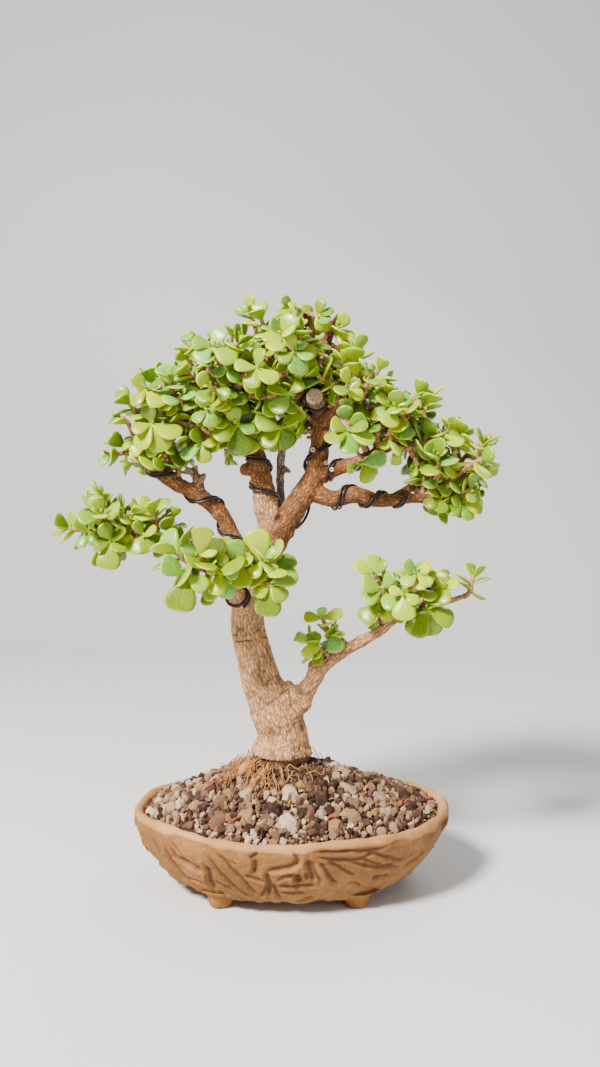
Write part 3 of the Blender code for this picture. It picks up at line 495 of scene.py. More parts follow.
tree = {
    "trunkStep": 0.011,
    "limbStep": 0.014,
    "trunk": ((-4.5, 0, 54.5, 15), (-4.5, 0, 63.5, 15.6), (-4.4, 0, 68, 17), (-4.2, 0, 72.2, 15),
              (-4, 0, 77.5, 13.6), (-7, 0, 86.5, 13.1), (-15, 1, 104, 11), (-19.5, 2, 120, 9.9),
              (-23, 1, 137, 9.3), (-21, 0, 154, 8.3), (-12.5, 0, 172, 7.1), (-8, 0, 182, 7.6),
              (4.5, 0, 202, 6.6), (12.5, 0, 214, 6.2), (16, 1, 232, 5.5), (16.5, 2, 250, 5),
              (14.5, 3, 272, 4.3), (18, 2, 285, 3.4), (24.5, 0, 299, 2.3)),
}
limbs = {
    "left_leader": ((-9, 0, 180, 5.8), (-12.5, 0, 196, 6.5), (-15, -1, 213, 6), (-20, 0, 232, 5.4),
                    (-25.5, 2, 247, 4.7), (-33, 3, 259, 3.7), (-41, 3, 269, 2.5)),
    "crown_left": ((-19, -1, 227, 4), (-33, -5, 238, 3.3), (-49, -4, 245, 2.6), (-64, 0, 251, 1.9)),
    "crown_left_back": ((-21.5, 1, 237, 3.6), (-30, 15, 250, 2.8), (-40, 28, 261, 1.9)),
    "crown_left_front": ((-26, 2, 248, 3.4), (-33, -13, 257, 2.6), (-40, -26, 265, 1.8)),
    "crown_middle": ((-24, 2, 244, 3.5), (-18, 5, 260, 2.9), (-11, 8, 276, 2.2), (-8, 8, 288, 1.7)),
    "crown_back": ((16, 2, 240, 3.8), (10, 17, 254, 3.1), (3, 31, 270, 2)),
    "crown_front": ((15, 3, 262, 3.4), (8, -12, 271, 2.7), (0, -26, 279, 1.8)),
    "crown_right_back": ((16.5, 2, 248, 3.4), (26, 12, 257, 2.7), (34, 22, 265, 1.8)),
    "crown_right_front": ((16, 1, 242, 3.4), (25, -10, 252, 2.7), (32, -20, 260, 1.8)),
    "apex_twig": ((14.8, 3, 271, 3), (12.5, 0, 286, 2.6), (8.8, -3, 304, 2.1)),
    "cut_stub": ((16, 2, 253, 5.2), (14.5, -8, 255.5, 5.4), (13, -17, 256.5, 5)),
    "right_low": ((11, 0, 208, 5.2), (23, -5, 203.5, 4.8), (35, -9, 205.5, 4.6), (46, -10, 202.5, 4),
                  (62, -12, 203.5, 2.9), (79.5, -12, 204, 2.3), (96, -8, 211, 1.7)),
    "right_low_back": ((54, -11, 203, 3), (66, 1, 210, 2.4), (79, 12, 216, 1.7)),
    "right_middle": ((14, 0, 215, 4.2), (27, -7, 220, 3.7), (43, -10, 226, 3), (58, -9, 233, 2.5),
                     (76, -6, 237, 1.8)),
    "right_middle_back": ((43, -10, 226, 2.8), (52, 4, 235, 2.3), (62, 15, 241, 1.7)),
    "left_up": ((-15, 2, 165, 5.5), (-28, 7, 176.5, 5), (-37, 6, 194.5, 4.6), (-49, 3, 205.5, 4.4),
                (-63.5, 0, 213, 3.8), (-76, -4, 223, 2.7), (-80, -4, 234, 1.9)),
    "left_low": ((-22, 2, 150, 5.6), (-34, 8, 160.5, 5.2), (-54, 11, 175.5, 4.6), (-74, 8, 182.5, 3.8),
                 (-90, 5, 187, 3), (-108, 0, 197, 1.8)),
    "left_low_back": ((-74, 8, 182.5, 3), (-85, 16, 188, 2.4), (-96, 21, 192, 1.7)),
    "left_stub": ((-76, 8, 183, 3.2), (-78.5, 3, 188, 2.6), (-80.5, 0, 191.5, 2)),
    "front": ((-23.5, -2, 145, 6.2), (-26.2, -12, 150, 5.3), (-29, -23, 156, 4.5), (-33, -31, 162, 3.5),
              (-38, -37, 165, 2.6)),
    "front_right": ((-29.8, -25.5, 157.5, 3.4), (-20.5, -30, 162.5, 2.8), (-12, -33, 164, 2.2)),
    "right_base": ((-3, 0, 88, 9), (4, -1, 95, 7.6), (9.5, -3, 102, 5.2), (18, -5, 114.5, 4),
                   (33, -8, 125, 3.3), (47, -9, 133, 3), (58, -9, 141.5, 2.6), (76, -9, 146.5, 2),
                   (93, -9, 152, 1.3)),
    "right_base_back": ((60, -9, 142.5, 2.2), (69, 4, 149, 1.8), (77, 12, 153, 1.4)),
    "dead_twig": ((-3, 3, 190, 3), (-5, 10, 204, 2.5), (-5.5, 11, 219, 2.3), (-3.5, 11, 233, 2.1),
                  (6, 12, 240, 1.6)),
}
# short cut ends and a splinter, too small for the solids
cutEnds = {
    "knot": ((-48.5, 3, 205, 3.6), (-49.5, 1, 212, 2.8), (-50.5, 0, 216, 2.3)),
    "knot_left": ((-50, 1, 213, 2.2), (-53.2, -1, 218.5, 1.7), (-56.8, -2, 220.2, 1.4)),
    "knot_high": ((-50.3, 0, 215, 2), (-51.2, 0, 219, 1.6), (-50.8, 0, 222.2, 1.5)),
    "knot_right": ((-49.3, 0, 211, 2.2), (-47, -1, 214.5, 1.7), (-46.2, -1, 217.8, 1.4)),
    "splinter": ((-5.4, 11, 219, 2.2), (-2.2, 10, 220.5, 1.7), (0.2, 9.5, 218.5, 0.9)),
    "tip_top": ((22.5, 0, 295.5, 2.4), (25.2, -1, 300, 2.3), (27, -1.5, 303, 2.1)),
    "tip_right": ((23.2, -0.5, 296.5, 2.1), (27.5, -3, 299, 1.9), (31.2, -4.5, 301, 1.8)),
    "tip_left": ((20.8, 0, 290, 2.2), (20.2, -3, 293.2, 2), (19.8, -5.5, 295.5, 1.9)),
}
limbRoutes = {"trunk": smoothRoute(metres(tree["trunk"]), tree["trunkStep"])}
for limbName, limbPoints in {**limbs, **cutEnds}.items():
    limbRoutes[limbName] = smoothRoute(metres(limbPoints), tree["limbStep"])
solidBark = skinOf(frame["nodes"]["trunk"].data)


# Bark

wood = {
    "voxel": 0.00076,
    "sides": 18,
    "step": 0.0022,
    "smoothSteps": 5,
    "lobes": ((0.07, 5, 0.6), (0.04, 3, 2.2)),  # size, waves and phase round the root flare
    "lobesEnd": 0.095,
    "lobesFade": 0.035,
    "junction": 0.0016,         # how far apart two limbs' surfaces are where relief is full
    "fissureWide": 0.0021,
    "fissureLong": 0.0085,
    "fissureDeep": 0.00045,
    "lumpSize": 0.0065,
    "lumpHigh": 0.00042,
    "flakeSize": 0.0015,
    "flakeHigh": 0.00016,
    "orangeFrom": 0.15,         # height where the pale trunk turns to rusty branches
    "orangeTo": 0.185,
    # burl and knobs in millimetres: x, y, z and radius
    "knobs": ((1, -5, 98, 6.2), (6.5, -4.8, 93.5, 5), (3, -6.8, 90.5, 4.6), (8.5, -3, 101, 4),
              (-1, -3.5, 103, 3.6), (3, 5, 97.5, 5), (12, -5.5, 106, 3), (29.5, -9.5, 124, 2.9),
              (13, -4.5, 114.5, 3.4), (-17.8, -7.2, 108.8, 3.4), (-8.1, -4.5, 195, 3.4),
              (-23.5, -3.5, 219, 3.6), (-10, -4.5, 170, 4.2), (-26, -4, 144, 4.8),
              (10.5, -3.5, 207.5, 4.5), (35, -12, 205, 2.4), (48, -11, 204, 3), (-54, 10, 177.5, 3.6),
              (-49, 1.5, 207.5, 3.2), (-76.5, 6, 185, 3)),
    # scars across the trunk: height and depth
    "scarLines": ((0.128, 0.0006), (0.1318, 0.0004), (0.1545, 0.0005), (0.08, 0.0003)),
    "collar": (0.0889, 0.0205, 0.68),   # the line under the low branch: height, how far left, slope
    "collarTop": 0.115,
    "collarHigh": 0.0007,
    "scarSlope": (0.023, 0.18),         # how far left a scar has its height, and its slope
    "scarTop": 0.165,
    "skirt": (0.0668, 0.065, 0.0012),   # the undercut below the root collar: heights and depth
    "cutFaces": ("apex_twig", "cut_stub", "left_stub", "dead_twig", "knot_left", "knot_high", "knot_right",
                 "tip_top", "tip_right", "tip_left"),
    # how grey each dead end is
    "dead": {"dead_twig": 1.2, "splinter": 1.2, "cut_stub": 0.5, "knot": 0.6, "knot_left": 0.8,
             "knot_high": 0.8, "knot_right": 0.8},
    "paleLeader": (0.34, 0.196, 0.216),     # how rusty the left leader's foot is, and the heights it ends at
    "rightBase": (0.42, 0.1, 0.122),        # the same of the low branch, which starts pale
    "shadedLow": (0.36, 0.016, 0.03),       # how dark the painted shade on the low right limb is, and the x where it gets so
}


def makeBark():
    bark = Finish("barkFinish", Roughness=0.88, Specular_IOR_Level=0.3)
    along = bark.own("barkPlace", "Vector")             # round the limb and along it, in millimetres
    orange = bark.own("woodOrange")
    dead = bark.own("woodDead")
    mark = bark.own("woodMark")
    cut = bark.own("woodCut")
    relief = bark.own("woodRelief")
    wander = bark.noise(along, 0.35, 2.0, 0.6, out="Color")
    lines = bark.shift(bark.stretched(along, (1.0, 1.0, 0.26)), wander, 1.6)
    cracks = bark.cells(lines, 0.62, "DISTANCE_TO_EDGE")
    crack = 1.0 - bark.rise(cracks, 0.02, 0.2)
    fine = bark.noise(bark.stretched(along, (1.0, 1.0, 0.3)), 1.9, 4.0, 0.65)
    pit = bark.rise(bark.noise(bark.stretched(along, (1.0, 1.0, 0.45)), 1.15, 3.0, 0.6), 0.57, 0.68)
    broad = bark.noise(along, 0.2, 3.0, 0.65)
    pale = bark.ramp(fine, (0.28, 152, 100, 58), (0.5, 216, 160, 108), (0.72, 246, 206, 160))
    rusty = bark.ramp(fine, (0.28, 70, 38, 16), (0.48, 134, 82, 38), (0.72, 206, 150, 92))
    grey = bark.ramp(fine, (0.3, 116, 104, 94), (0.52, 176, 162, 150), (0.75, 214, 204, 192))
    colour = bark.mix(bark.rise(orange * 0.8 + (broad - 0.5) * 1.5, 0.25, 0.8), pale, rusty)
    rings = bark.node("ShaderNodeMath", {"operation": "SINE"}, {0: cut * 34.0})
    cutColour = bark.mix(bark.rise(rings, -0.4, 0.8), tone(176, 142, 104), tone(221, 199, 168))
    bark.set(Base_Color=bark.layers(
        colour, (dead, grey), (crack * (orange * 0.18 + 0.5), tone(84, 50, 28)),
        # darker where the bark is pressed in: partly the fissures' own colour, partly painted shade in the
        # hollows
        (pit * 0.5, tone(110, 70, 44)), (bark.rise(relief, 0.42, 0.0) * 0.7, tone(84, 52, 34)),
        # the scars' dark marks, with painted shade laid over the low right limb
        (mark * 0.8, tone(58, 36, 26)), (bark.rise(cut, 0.02, 0.1), cutColour)))
    low = bark.bump(crack * -0.8 + pit * -0.5, 0.9, 0.0006)
    bark.set(Normal=bark.bump(fine, 0.55, 0.00035, low))
    return bark.material


barkFinish = makeBark()


def sampleWood(step):
    # every limb's centre line, closely sampled: frames, radius, length along and limb number
    rows = []
    starts = []
    for number, route in enumerate(limbRoutes.values()):
        line = smoothRoute(route, step)
        starts.append(len(rows))
        length = 0.0
        before = line[0].xyz
        for found, point in zip(framesAlong(line), line):
            length += (found[0] - before).length
            before = found[0]
            rows.append((*found, point.w, length, number))
    names = ("centre", "tangent", "side", "other", "radius", "length", "number")
    samples = {name: np.array(column) for name, column in zip(names, zip(*rows))}
    return dict(samples, starts=np.array(starts))


def nearestWood(samples, points):
    # the sample that each point lies nearest to, and how clear of other limbs the point is
    chosen = []
    lead = []
    for first in range(0, len(points), 3000):
        part = points[first:first + 3000]
        away = np.linalg.norm(part[:, None] - samples["centre"][None], axis=2) - samples["radius"]
        chosen.append(away.argmin(axis=1))
        best = np.sort(np.minimum.reduceat(away, samples["starts"], axis=1), axis=1)
        lead.append(best[:, 1] - best[:, 0])
    return np.concatenate(chosen), np.concatenate(lead)


def flareAt(angle, height):
    # how far the root flare bulges over its main roots
    fade = min(1.0, max(0.0, (wood["lobesEnd"] - height) / wood["lobesFade"]))
    return 1.0 + fade * sum(size * sin(waves * angle + phase) for size, waves, phase in wood["lobes"])


def makeWood():
    parts = []
    for name, route in limbRoutes.items():
        line = smoothRoute(route, wood["step"])
        leaving = up if name == "trunk" else None
        points, faces = tubePart(line, wood["sides"], leaving)
        if name == "trunk":
            angles = ringAngles(wood["sides"]) * len(line)
            for k, (point, angle) in enumerate(zip(points, angles)):
                middle = line[k // wood["sides"]].xyz
                points[k] = middle + (point - middle) * flareAt(angle, middle.z)
        parts.append((points, faces))
    for *middle, radius in metres(wood["knobs"]):
        parts.append(ballPart(middle, radius))
    made = addMesh("woody_plant", *joinParts(parts))
    remesh = made.modifiers.new("skin", "REMESH")
    remesh.mode = "VOXEL"
    remesh.voxel_size = wood["voxel"]
    soften = made.modifiers.new("soften", "SMOOTH")
    soften.factor = 0.5
    soften.iterations = wood["smoothSteps"]
    applyModifiers(made)
    dressWood(made)
    return made


def placeOnWood(points):
    # where each point lies round and along its limb, the limb's number and radius, and how clear it is
    samples = sampleWood(0.001)
    chosen, lead = nearestWood(samples, points)
    away = points - samples["centre"][chosen]
    ways = ("side", "other", "tangent")
    round1, round2, onward = ((away * samples[way][chosen]).sum(axis=1) for way in ways)
    number = samples["number"][chosen]
    along = samples["length"][chosen] + onward + number * 0.37
    return {"place": np.column_stack((round1, round2, along)), "number": number,
            "radius": samples["radius"][chosen], "lead": lead}


def barkRelief(spot, lump, onTrunk):
    # how far fissures, lumps, flakes and knuckles stand out
    place, number, radius = spot["place"], spot["number"], spot["radius"]
    stretched = place * (1 / wood["fissureWide"], 1 / wood["fissureWide"], 1 / wood["fissureLong"])
    ridge = 1.0 - np.abs(noiseAt(stretched, 1.0)) * 2.6
    ridge2 = 1.0 - np.abs(noiseAt(stretched * 1.9 + 7.3, 1.0)) * 2.4
    crack = np.clip(ridge, 0, 1) ** 2 * 0.65 + np.clip(ridge2, 0, 1) ** 2 * 0.35
    flake = noiseAt(place * (1, 1, 0.6), wood["flakeSize"])
    knuckle = noiseAt(np.column_stack((number * 3.1, number * 1.7, place[:, 2] / 0.0042)), 1.0)
    size = np.clip(radius / 0.01, 0.15, 1.2)
    out = -crack * wood["fissureDeep"] * size ** 0.7
    out += lump * wood["lumpHigh"] * size ** 0.6
    out += flake * wood["flakeHigh"] * np.clip(size * 1.6, 0.4, 1.0)
    out += np.where(onTrunk, 0.0, np.clip(knuckle, -0.2, 1.0) * radius * 0.16)
    return out * (0.3 + 0.7 * smoothStep(0.0, wood["junction"], spot["lead"]))


def scarTrunk(points, isTrunk, lump, onTrunk, out):
    # presses the collar line below the low branch, the scars and the foot's undercut into out, and gives
    # back how dark they are
    x, height = points[:, 0], points[:, 2]
    mark = np.zeros(len(points))
    middle, left, slope = wood["collar"]
    collar = height - (middle + (x + left) * slope) + 0.0006 * lump
    trunkOnly = isTrunk & (height < wood["collarTop"])
    below = smoothStep(0.0006, -0.0006, collar) * smoothStep(-0.016, -0.003, collar)
    out += np.where(trunkOnly, below, 0.0) * wood["collarHigh"]
    mark += np.where(trunkOnly, np.exp(-(collar / 0.00055) ** 2), 0.0)
    left, slope = wood["scarSlope"]
    for middle, deep in wood["scarLines"]:
        line = height - middle - (x + left) * slope + 0.0009 * noiseAt(points, 0.006)
        near = np.where(onTrunk, np.exp(-(line / 0.00045) ** 2), 0.0) * smoothStep(-0.5, 0.3, lump)
        out -= near * deep
        mark += near * deep / 0.0006
    *skirt, deep = wood["skirt"]
    out -= smoothStep(*skirt, height) * isTrunk * deep
    return mark


def trimCuts(points, out):
    # flattens the sawn faces in out, and gives back how near their middle each point is
    cut = np.zeros(len(points))
    for name in wood["cutFaces"]:
        end = limbRoutes[name][-1]
        toward = np.array((end.xyz - limbRoutes[name][-2].xyz).normalized())
        rel = points - np.array(end.xyz)
        depth = rel @ toward
        reach = np.linalg.norm(rel - depth[:, None] * toward, axis=1)
        onFace = (depth > -0.0009) & (reach < end.w * 0.86)
        cut[onFace] = 1.0 - reach[onFace] / end.w
        out[onFace] = -0.0003 * cut[onFace]
    return cut


def barkTones(points, number, mark):
    # how rusty and dead the bark of each limb is, and how dark its scars and the painted shade on the low
    # right limb make it
    x, height = points[:, 0], points[:, 2]
    names = list(limbRoutes)
    dead = np.zeros(len(points))
    for name, share in wood["dead"].items():
        dead[number == names.index(name)] = share
    orange = smoothStep(wood["orangeFrom"], wood["orangeTo"], height)
    pale, *ends = wood["paleLeader"]
    leader = number == names.index("left_leader")
    orange = np.where(leader, pale + (1 - pale) * smoothStep(*ends, height), orange)
    rusty, *ends = wood["rightBase"]
    rightBase = np.isin(number, [names.index("right_base"), names.index("right_base_back")])
    orange = np.where(rightBase, rusty * smoothStep(*ends, height), orange)
    dark, *ends = wood["shadedLow"]
    shaded = (number == names.index("right_low")) * smoothStep(*ends, x)
    # the scars' marks, with painted shade over the low right limb
    return orange, dead, np.maximum(mark, dark * shaded)


def dressWood(made):
    mesh = made.data
    points = pointsOf(mesh)
    spot = placeOnWood(points)
    isTrunk = spot["number"] == 0
    onTrunk = isTrunk & (points[:, 2] < wood["scarTop"])
    lump = noiseAt(points, wood["lumpSize"])
    out = barkRelief(spot, lump, onTrunk)
    mark = scarTrunk(points, isTrunk, lump, onTrunk, out)
    cut = trimCuts(points, out)
    moved = points + vectorsOf(mesh.vertex_normals, "vector") * out[:, None]
    mesh.vertices.foreach_set("co", (moved + np.array(potMiddle)).astype(np.float32).ravel())
    orange, dead, mark = barkTones(points, spot["number"], mark)
    own = {"barkPlace": spot["place"] * 1000, "woodRelief": np.clip(0.5 + 0.5 * (out / 0.0006), 0, 1),
           "woodOrange": orange, "woodDead": dead * 0.8 * smoothStep(-0.001, 0.002, spot["lead"]),
           "woodMark": np.clip(mark, 0, 1), "woodCut": cut}
    for attribute, values in own.items():
        storeValues(mesh, attribute, values)
    smooth(mesh)
    mesh.materials.append(barkFinish)
    mesh.update()


woodPiece = makeWood()
woodSkin = skinOf(woodPiece.data)
finishPiece(woodPiece, "bark", "trunk")
print("wood:", len(woodPiece.data.polygons), "faces")


# Training wires, dark and anodised, coiled along the branches

wires = {
    "radius": 0.0008,
    "clear": 0.00008,
    "turnPoints": 26,
    "sides": 10,
    "lineStep": 0.0005,
    "rayFrom": 0.004,           # how far over the limb the bark's height is looked for
    "spread": (-0.0006, 0.0, 0.0006),   # and where along it, so that a wire lies on the highest bark
    # limb, first and last distance along it, turns and the turn they start at
    "coils": {
        "wire_left_leader": ("left_leader", 0.0224, 0.047, -1.48, 0.958),
        "wire_right_leader": ("trunk", 0.1765, 0.199, 0.8, 0.25),
        "wire_right_low": ("right_low", 0.0131, 0.0535, -2.42, 0.742),
        "wire_right_middle": ("right_middle", 0.0069, 0.0305, -1.24, 0.548),
        "wire_left_up": ("left_up", 0.0224, 0.0882, -2.49, 0.277),
        "wire_front": ("front", 0.014, 0.02, 1.8, 0.2),
    },
    # loops that only the photograph's close look shows, each part of a wire above
    "loops": {
        "wire_right_leader": (("cut_stub", 0.0102, 0.014, 1.7, 0.3), ("trunk", 0.145, 0.162, 0.24, 0.78)),
    },
    # the thinner second wire beside most of them
    "secondRadius": 0.0006,
    "secondApart": 0.0019,
}


def makeWireFinish():
    wire = Finish("wireFinish", Metallic=0.35, Specular_IOR_Level=0.5)
    place = wire.place()
    worn = wire.rise(wire.noise(place, 900.0, 3.0, 0.6), 0.55, 0.72)
    wire.set(Base_Color=wire.mix(worn, tone(46, 32, 28), tone(96, 72, 60)))
    wire.set(Roughness=wire.noise(place, 400.0, 2.0) * 0.25 + 0.24)
    wire.set(Normal=wire.bump(wire.noise(place, 2600.0, 2.0), 0.12, 0.0002))
    return wire.material


def coilRoute(limb, first, last, turns, start, radius):
    line = smoothRoute(limbRoutes[limb], wires["lineStep"])
    found = framesAlong(line)
    along = [0.0]
    for before, after in zip(found, found[1:]):
        along.append(along[-1] + (after[0] - before[0]).length)
    count = round(abs(turns) * wires["turnPoints"])
    coil = []
    for k in range(count + 1):
        distance = first + (last - first) * k / count
        nearest = min(range(len(along)), key=lambda index: abs(along[index] - distance))
        place, _, side, other = found[nearest]
        angle = 2 * pi * (start + turns * k / count)
        out = side * cos(angle) + other * sin(angle)
        reach = line[nearest].w
        for spread in wires["spread"]:
            origin = place + found[nearest][1] * spread
            hit = woodSkin.ray_cast(origin + out * (line[nearest].w + wires["rayFrom"]), -out)[0]
            if hit:
                reach = max(reach, (hit - place).dot(out))
        coil.append([place, out, reach + radius + wires["clear"]])
    reaches = [item[2] for item in coil]
    spanned = [max(reaches[max(k - 3, 0):k + 4]) for k in range(len(coil))]  # a wire spans small hollows
    for k, item in enumerate(coil):
        near = spanned[max(k - 4, 0):k + 5]
        item[2] = sum(near) / len(near)
    return [Vector((*(place + out * reach), radius)) for place, out, reach in coil]


wireFinish = makeWireFinish()
for wireName, coil in wires["coils"].items():
    wireRoutes = [coilRoute(*own, wires["radius"]) for own in (coil, *wires["loops"].get(wireName, ()))]
    if coil[0] != "front":
        limbName, *ends, turns, start = coil
        ends = [end + wires["secondApart"] for end in ends]
        wireRoutes.append(coilRoute(limbName, *ends, turns, start, wires["secondRadius"]))
    piece = addStrands(wireName + "_wound", wireRoutes, wires["sides"], wireFinish)
    finishPiece(piece, "wire", wireName)
print("wires:", len(wires["coils"]))


# Foliage: the leafy stems of the solids are found again, then filled out

# each pad's limbs, middle, reach, solid sprays, lowest heading, turn, leaf length and more sprays; sizes
# are millimetres
padRows = {
    "crown_left": ("crown_left left_up crown_left_back", (-66, 0, 253), (21, 28, 20), 5, -0.35, 2.6, 13,
                   13),
    "crown_shoulder": ("left_leader crown_left_back crown_left_front crown_middle", (-36, 0, 269),
                       (25, 40, 26), 6, -0.25, 0.4, 13, 20),
    "crown_top": ("crown_middle crown_back crown_front apex_twig trunk", (2, 0, 279), (28, 42, 26), 7,
                  -0.25, 1.2, 13, 22),
    "crown_right": ("crown_right_back crown_right_front trunk", (28, 0, 262), (20, 34, 22), 4, -0.25, 5.4,
                    13, 14),
    "right_upper": ("right_middle right_middle_back", (59, -2, 248), (18, 26, 17), 4, -0.1, 3.6, 13, 12),
    "right_outer": ("right_low right_low_back right_middle", (85, -3, 225), (21, 29, 17), 6, -0.4, 0.9,
                    13.2, 16),
    "left_outer": ("left_low left_low_back", (-100, 1, 190), (20, 22, 11), 4, -0.35, 2.4, 13.4, 9),
    "left_inner": ("left_low", (-70, 4, 189), (10, 14, 10), 1, 0.6, 4, 13.6, 3),
    "front_left": ("front", (-47, -43, 170), (12, 10, 8), 2, -0.2, 3.3, 18, 1),
    "front_middle": ("front_right front", (-14, -36, 166), (13, 10, 8), 2, -0.2, 5.2, 16, 1),
    "low_tip": ("right_base", (94, -9, 158), (5, 6, 6), 1, 0.5, 0, 11.5, 0),
    "low_right": ("right_base right_base_back", (64, -6, 153), (18, 20, 10), 4, -0.2, 1, 13.6, 5),
    "low_start": ("right_base", (18, -7, 126), (8, 8, 7), 2, 0.1, 0.8, 11.8, 0),
}
twigs = {
    "tipTries": ((0, 1.0), (24, 1.0), (-24, 1.0), (0, 1.2), (48, 1.05), (-48, 1.05), (0, 0.8)),
    "tipLift": 0.25,
    "shortest": 0.005,
    "sampleStep": 0.002,
    "endLean": 0.3,
    "seat": 0.0005,
    "radii": (0.0014, 0.0011),
    "bow": 0.35,
    "rayStart": 0.002,
    "pairSpacing": 0.0036,
    "lastPair": 0.001,
}
leaves = {
    "root": 0.0005,
    "lean": (36.0, 62.0, 84.0, 92.0, 98.0, 102.0),  # degrees from the twig, from its end inwards
    "size": (0.84, 1.0, 0.96, 0.9, 0.86, 0.8),
    "upHint": Vector((0.31, 0.17, 0.94)),
    "lightPull": 0.45,
    "width": 0.82,
    "thick": 0.0021,
    "solidOutline": ((0.4, 0.35), (0.78, 0.5), (0.985, 0.24)),
    "crest": 0.46,
    "turnEach": 2.4,
    # the ways that a leaf may be bent clear: lean, turn and size
    "bends": ((0.0, 0.0, 1.0), (-14.0, 0.0, 1.0), (14.0, 0.0, 1.0), (0.0, 22.0, 1.0), (0.0, -22.0, 1.0),
              (-16.0, 24.0, 0.9), (-16.0, -24.0, 0.9), (18.0, 20.0, 0.85), (18.0, -20.0, 0.85),
              (-26.0, 0.0, 0.8), (28.0, 0.0, 0.75)),
    # how the fine leaf's shapes differ: cup, bow along it, squareness of its tip, roll and width
    "shapes": ((0.3, 0.25, 0.0, 0.0, 1.0), (0.55, 0.1, 0.3, 0.1, 1.0), (0.15, 0.55, 0.1, -0.12, 1.0),
               (0.7, -0.15, 0.5, 0.0, 1.0), (0.05, -0.35, 0.2, 0.15, 0.86), (0.45, 0.4, 0.6, -0.1, 1.0),
               (0.25, 0.0, 0.3, 0.2, 1.0)),
    # distance along and half width of the fine leaf's outline, as shares
    "outline": ((0.0, 0.06), (0.13, 0.118), (0.27, 0.232), (0.42, 0.366), (0.57, 0.462),
                (0.71, 0.5), (0.83, 0.464), (0.925, 0.35), (0.982, 0.185)),
    "body": (0.55, 0.62, 0.8, 0.96, 1.0, 0.95, 0.84, 0.68, 0.5),     # thickness at each of those
    "round": 8,
}


pads = {}
for padName, (limbNames, middle, reach, count, low, turn, leafLong, more) in padRows.items():
    pads[padName] = {"limbs": limbNames.split(), "middle": metres(middle), "reach": metres(reach),
                     "sprays": count, "low": low, "turn": turn, "leaf": metres(leafLong), "more": more}


def padTip(pad, number, count, moreTurn, stretch):
    height = 1.0 - (number + 0.5) / count * (1.0 - pad["low"])
    angle = goldenAngle * number + pad["turn"] + math.radians(moreTurn)
    rim = math.sqrt(max(0.0, 1.0 - height * height))
    heading = Vector((rim * cos(angle), rim * sin(angle), height))
    reach = Vector([share * size * stretch for share, size in zip(heading, pad["reach"])])
    return Vector(pad["middle"]) + reach, (heading + up * twigs["tipLift"]).normalized()


def twigRoute(start, out, tip, heading, rings=4):
    low, high = twigs["radii"]
    span = (tip - start).length
    early = start + out * span * twigs["bow"]
    late = tip - heading * span * twigs["bow"]
    route = []
    for k in range(rings):
        t = k / (rings - 1)
        place = (start * (1 - t) ** 3 + early * 3 * t * (1 - t) ** 2
                 + late * 3 * t * t * (1 - t) + tip * t ** 3)
        route.append(Vector((*place, low + (high - low) * t)))
    return route


def sampleLimbs(names):
    samples = []
    for name in names:
        route = limbRoutes[name]
        for before, after in zip(route, route[1:]):
            step = (after - before).xyz
            count = math.ceil(step.length / twigs["sampleStep"])
            for k in range(count):
                samples.append((before.lerp(after, k / count), step.normalized(), False))
        samples.append((after, step.normalized(), True))
    return samples


def leaveLimb(sample, tip, skin):
    # where and in which direction a twig for this tip would leave its limb
    point, tangent, atEnd = sample
    way = tip - point.xyz
    if way.length < twigs["shortest"]:
        return None, None
    if atEnd and way.dot(tangent) > twigs["endLean"] * way.length:
        return point.xyz + tangent * twigs["seat"], tangent
    out = (way - tangent * way.dot(tangent)).normalized()
    hit = skin.ray_cast(point.xyz + out * (point.w + twigs["rayStart"]), -out)[0]
    return (hit + out * twigs["seat"], out) if hit else (None, None)


def backAlong(route, distance):
    for ahead, behind in zip(reversed(route), reversed(route[:-1])):
        step = ahead.xyz - behind.xyz
        if distance <= step.length:
            return ahead.xyz - step.normalized() * distance, step.normalized()
        distance -= step.length
    return None, None


def leafPose(route, pair, side, turn, size, bend, pull=up * leaves["lightPull"]):
    place, axis = backAlong(route, twigs["lastPair"] + twigs["pairSpacing"] * pair)
    if place is None:
        return None
    leanMore, turnMore, sizeShare = bend
    lean = math.radians(leaves["lean"][pair] + leanMore)
    angle = turn + pi * side + pi / 2 * pair + math.radians(turnMore)
    first = (leaves["upHint"] - axis * axis.dot(leaves["upHint"])).normalized()
    second = axis.cross(first)
    out = first * cos(angle) + second * sin(angle)
    along = axis * cos(lean) + out * sin(lean)
    face = axis * sin(lean) - out * cos(lean) + pull
    face = (face - along * face.dot(along)).normalized()
    return {"base": place - along * leaves["root"], "along": along, "face": face,
            "length": size * leaves["size"][pair] * sizeShare}


def solidLeaf(leaf, grow=0.0, thick=None):
    # the plain leaf of the solids: foot, outline and two crests
    base, along, face, length = leaf["base"], leaf["along"], leaf["face"], leaf["length"]
    across = face.cross(along)
    width = length * leaves["width"] + 2 * grow
    left = []
    right = []
    for distance, half in leaves["solidOutline"]:
        place = base + along * (length + grow) * distance
        left.append(place + across * width * half)
        right.append(place - across * width * half)
    crest = base + along * length * leaves["crest"]
    lift = face * ((thick or leaves["thick"]) / 2 + grow)
    return [base, *right, *reversed(left), crest + lift, crest - lift]


leafFaces = [(7, k, (k + 1) % 7) for k in range(7)] + [(8, (k + 1) % 7, k) for k in range(7)]


def boxOf(points):
    return [[pick(point[axis] for point in points) for axis in range(3)] for pick in (min, max)]


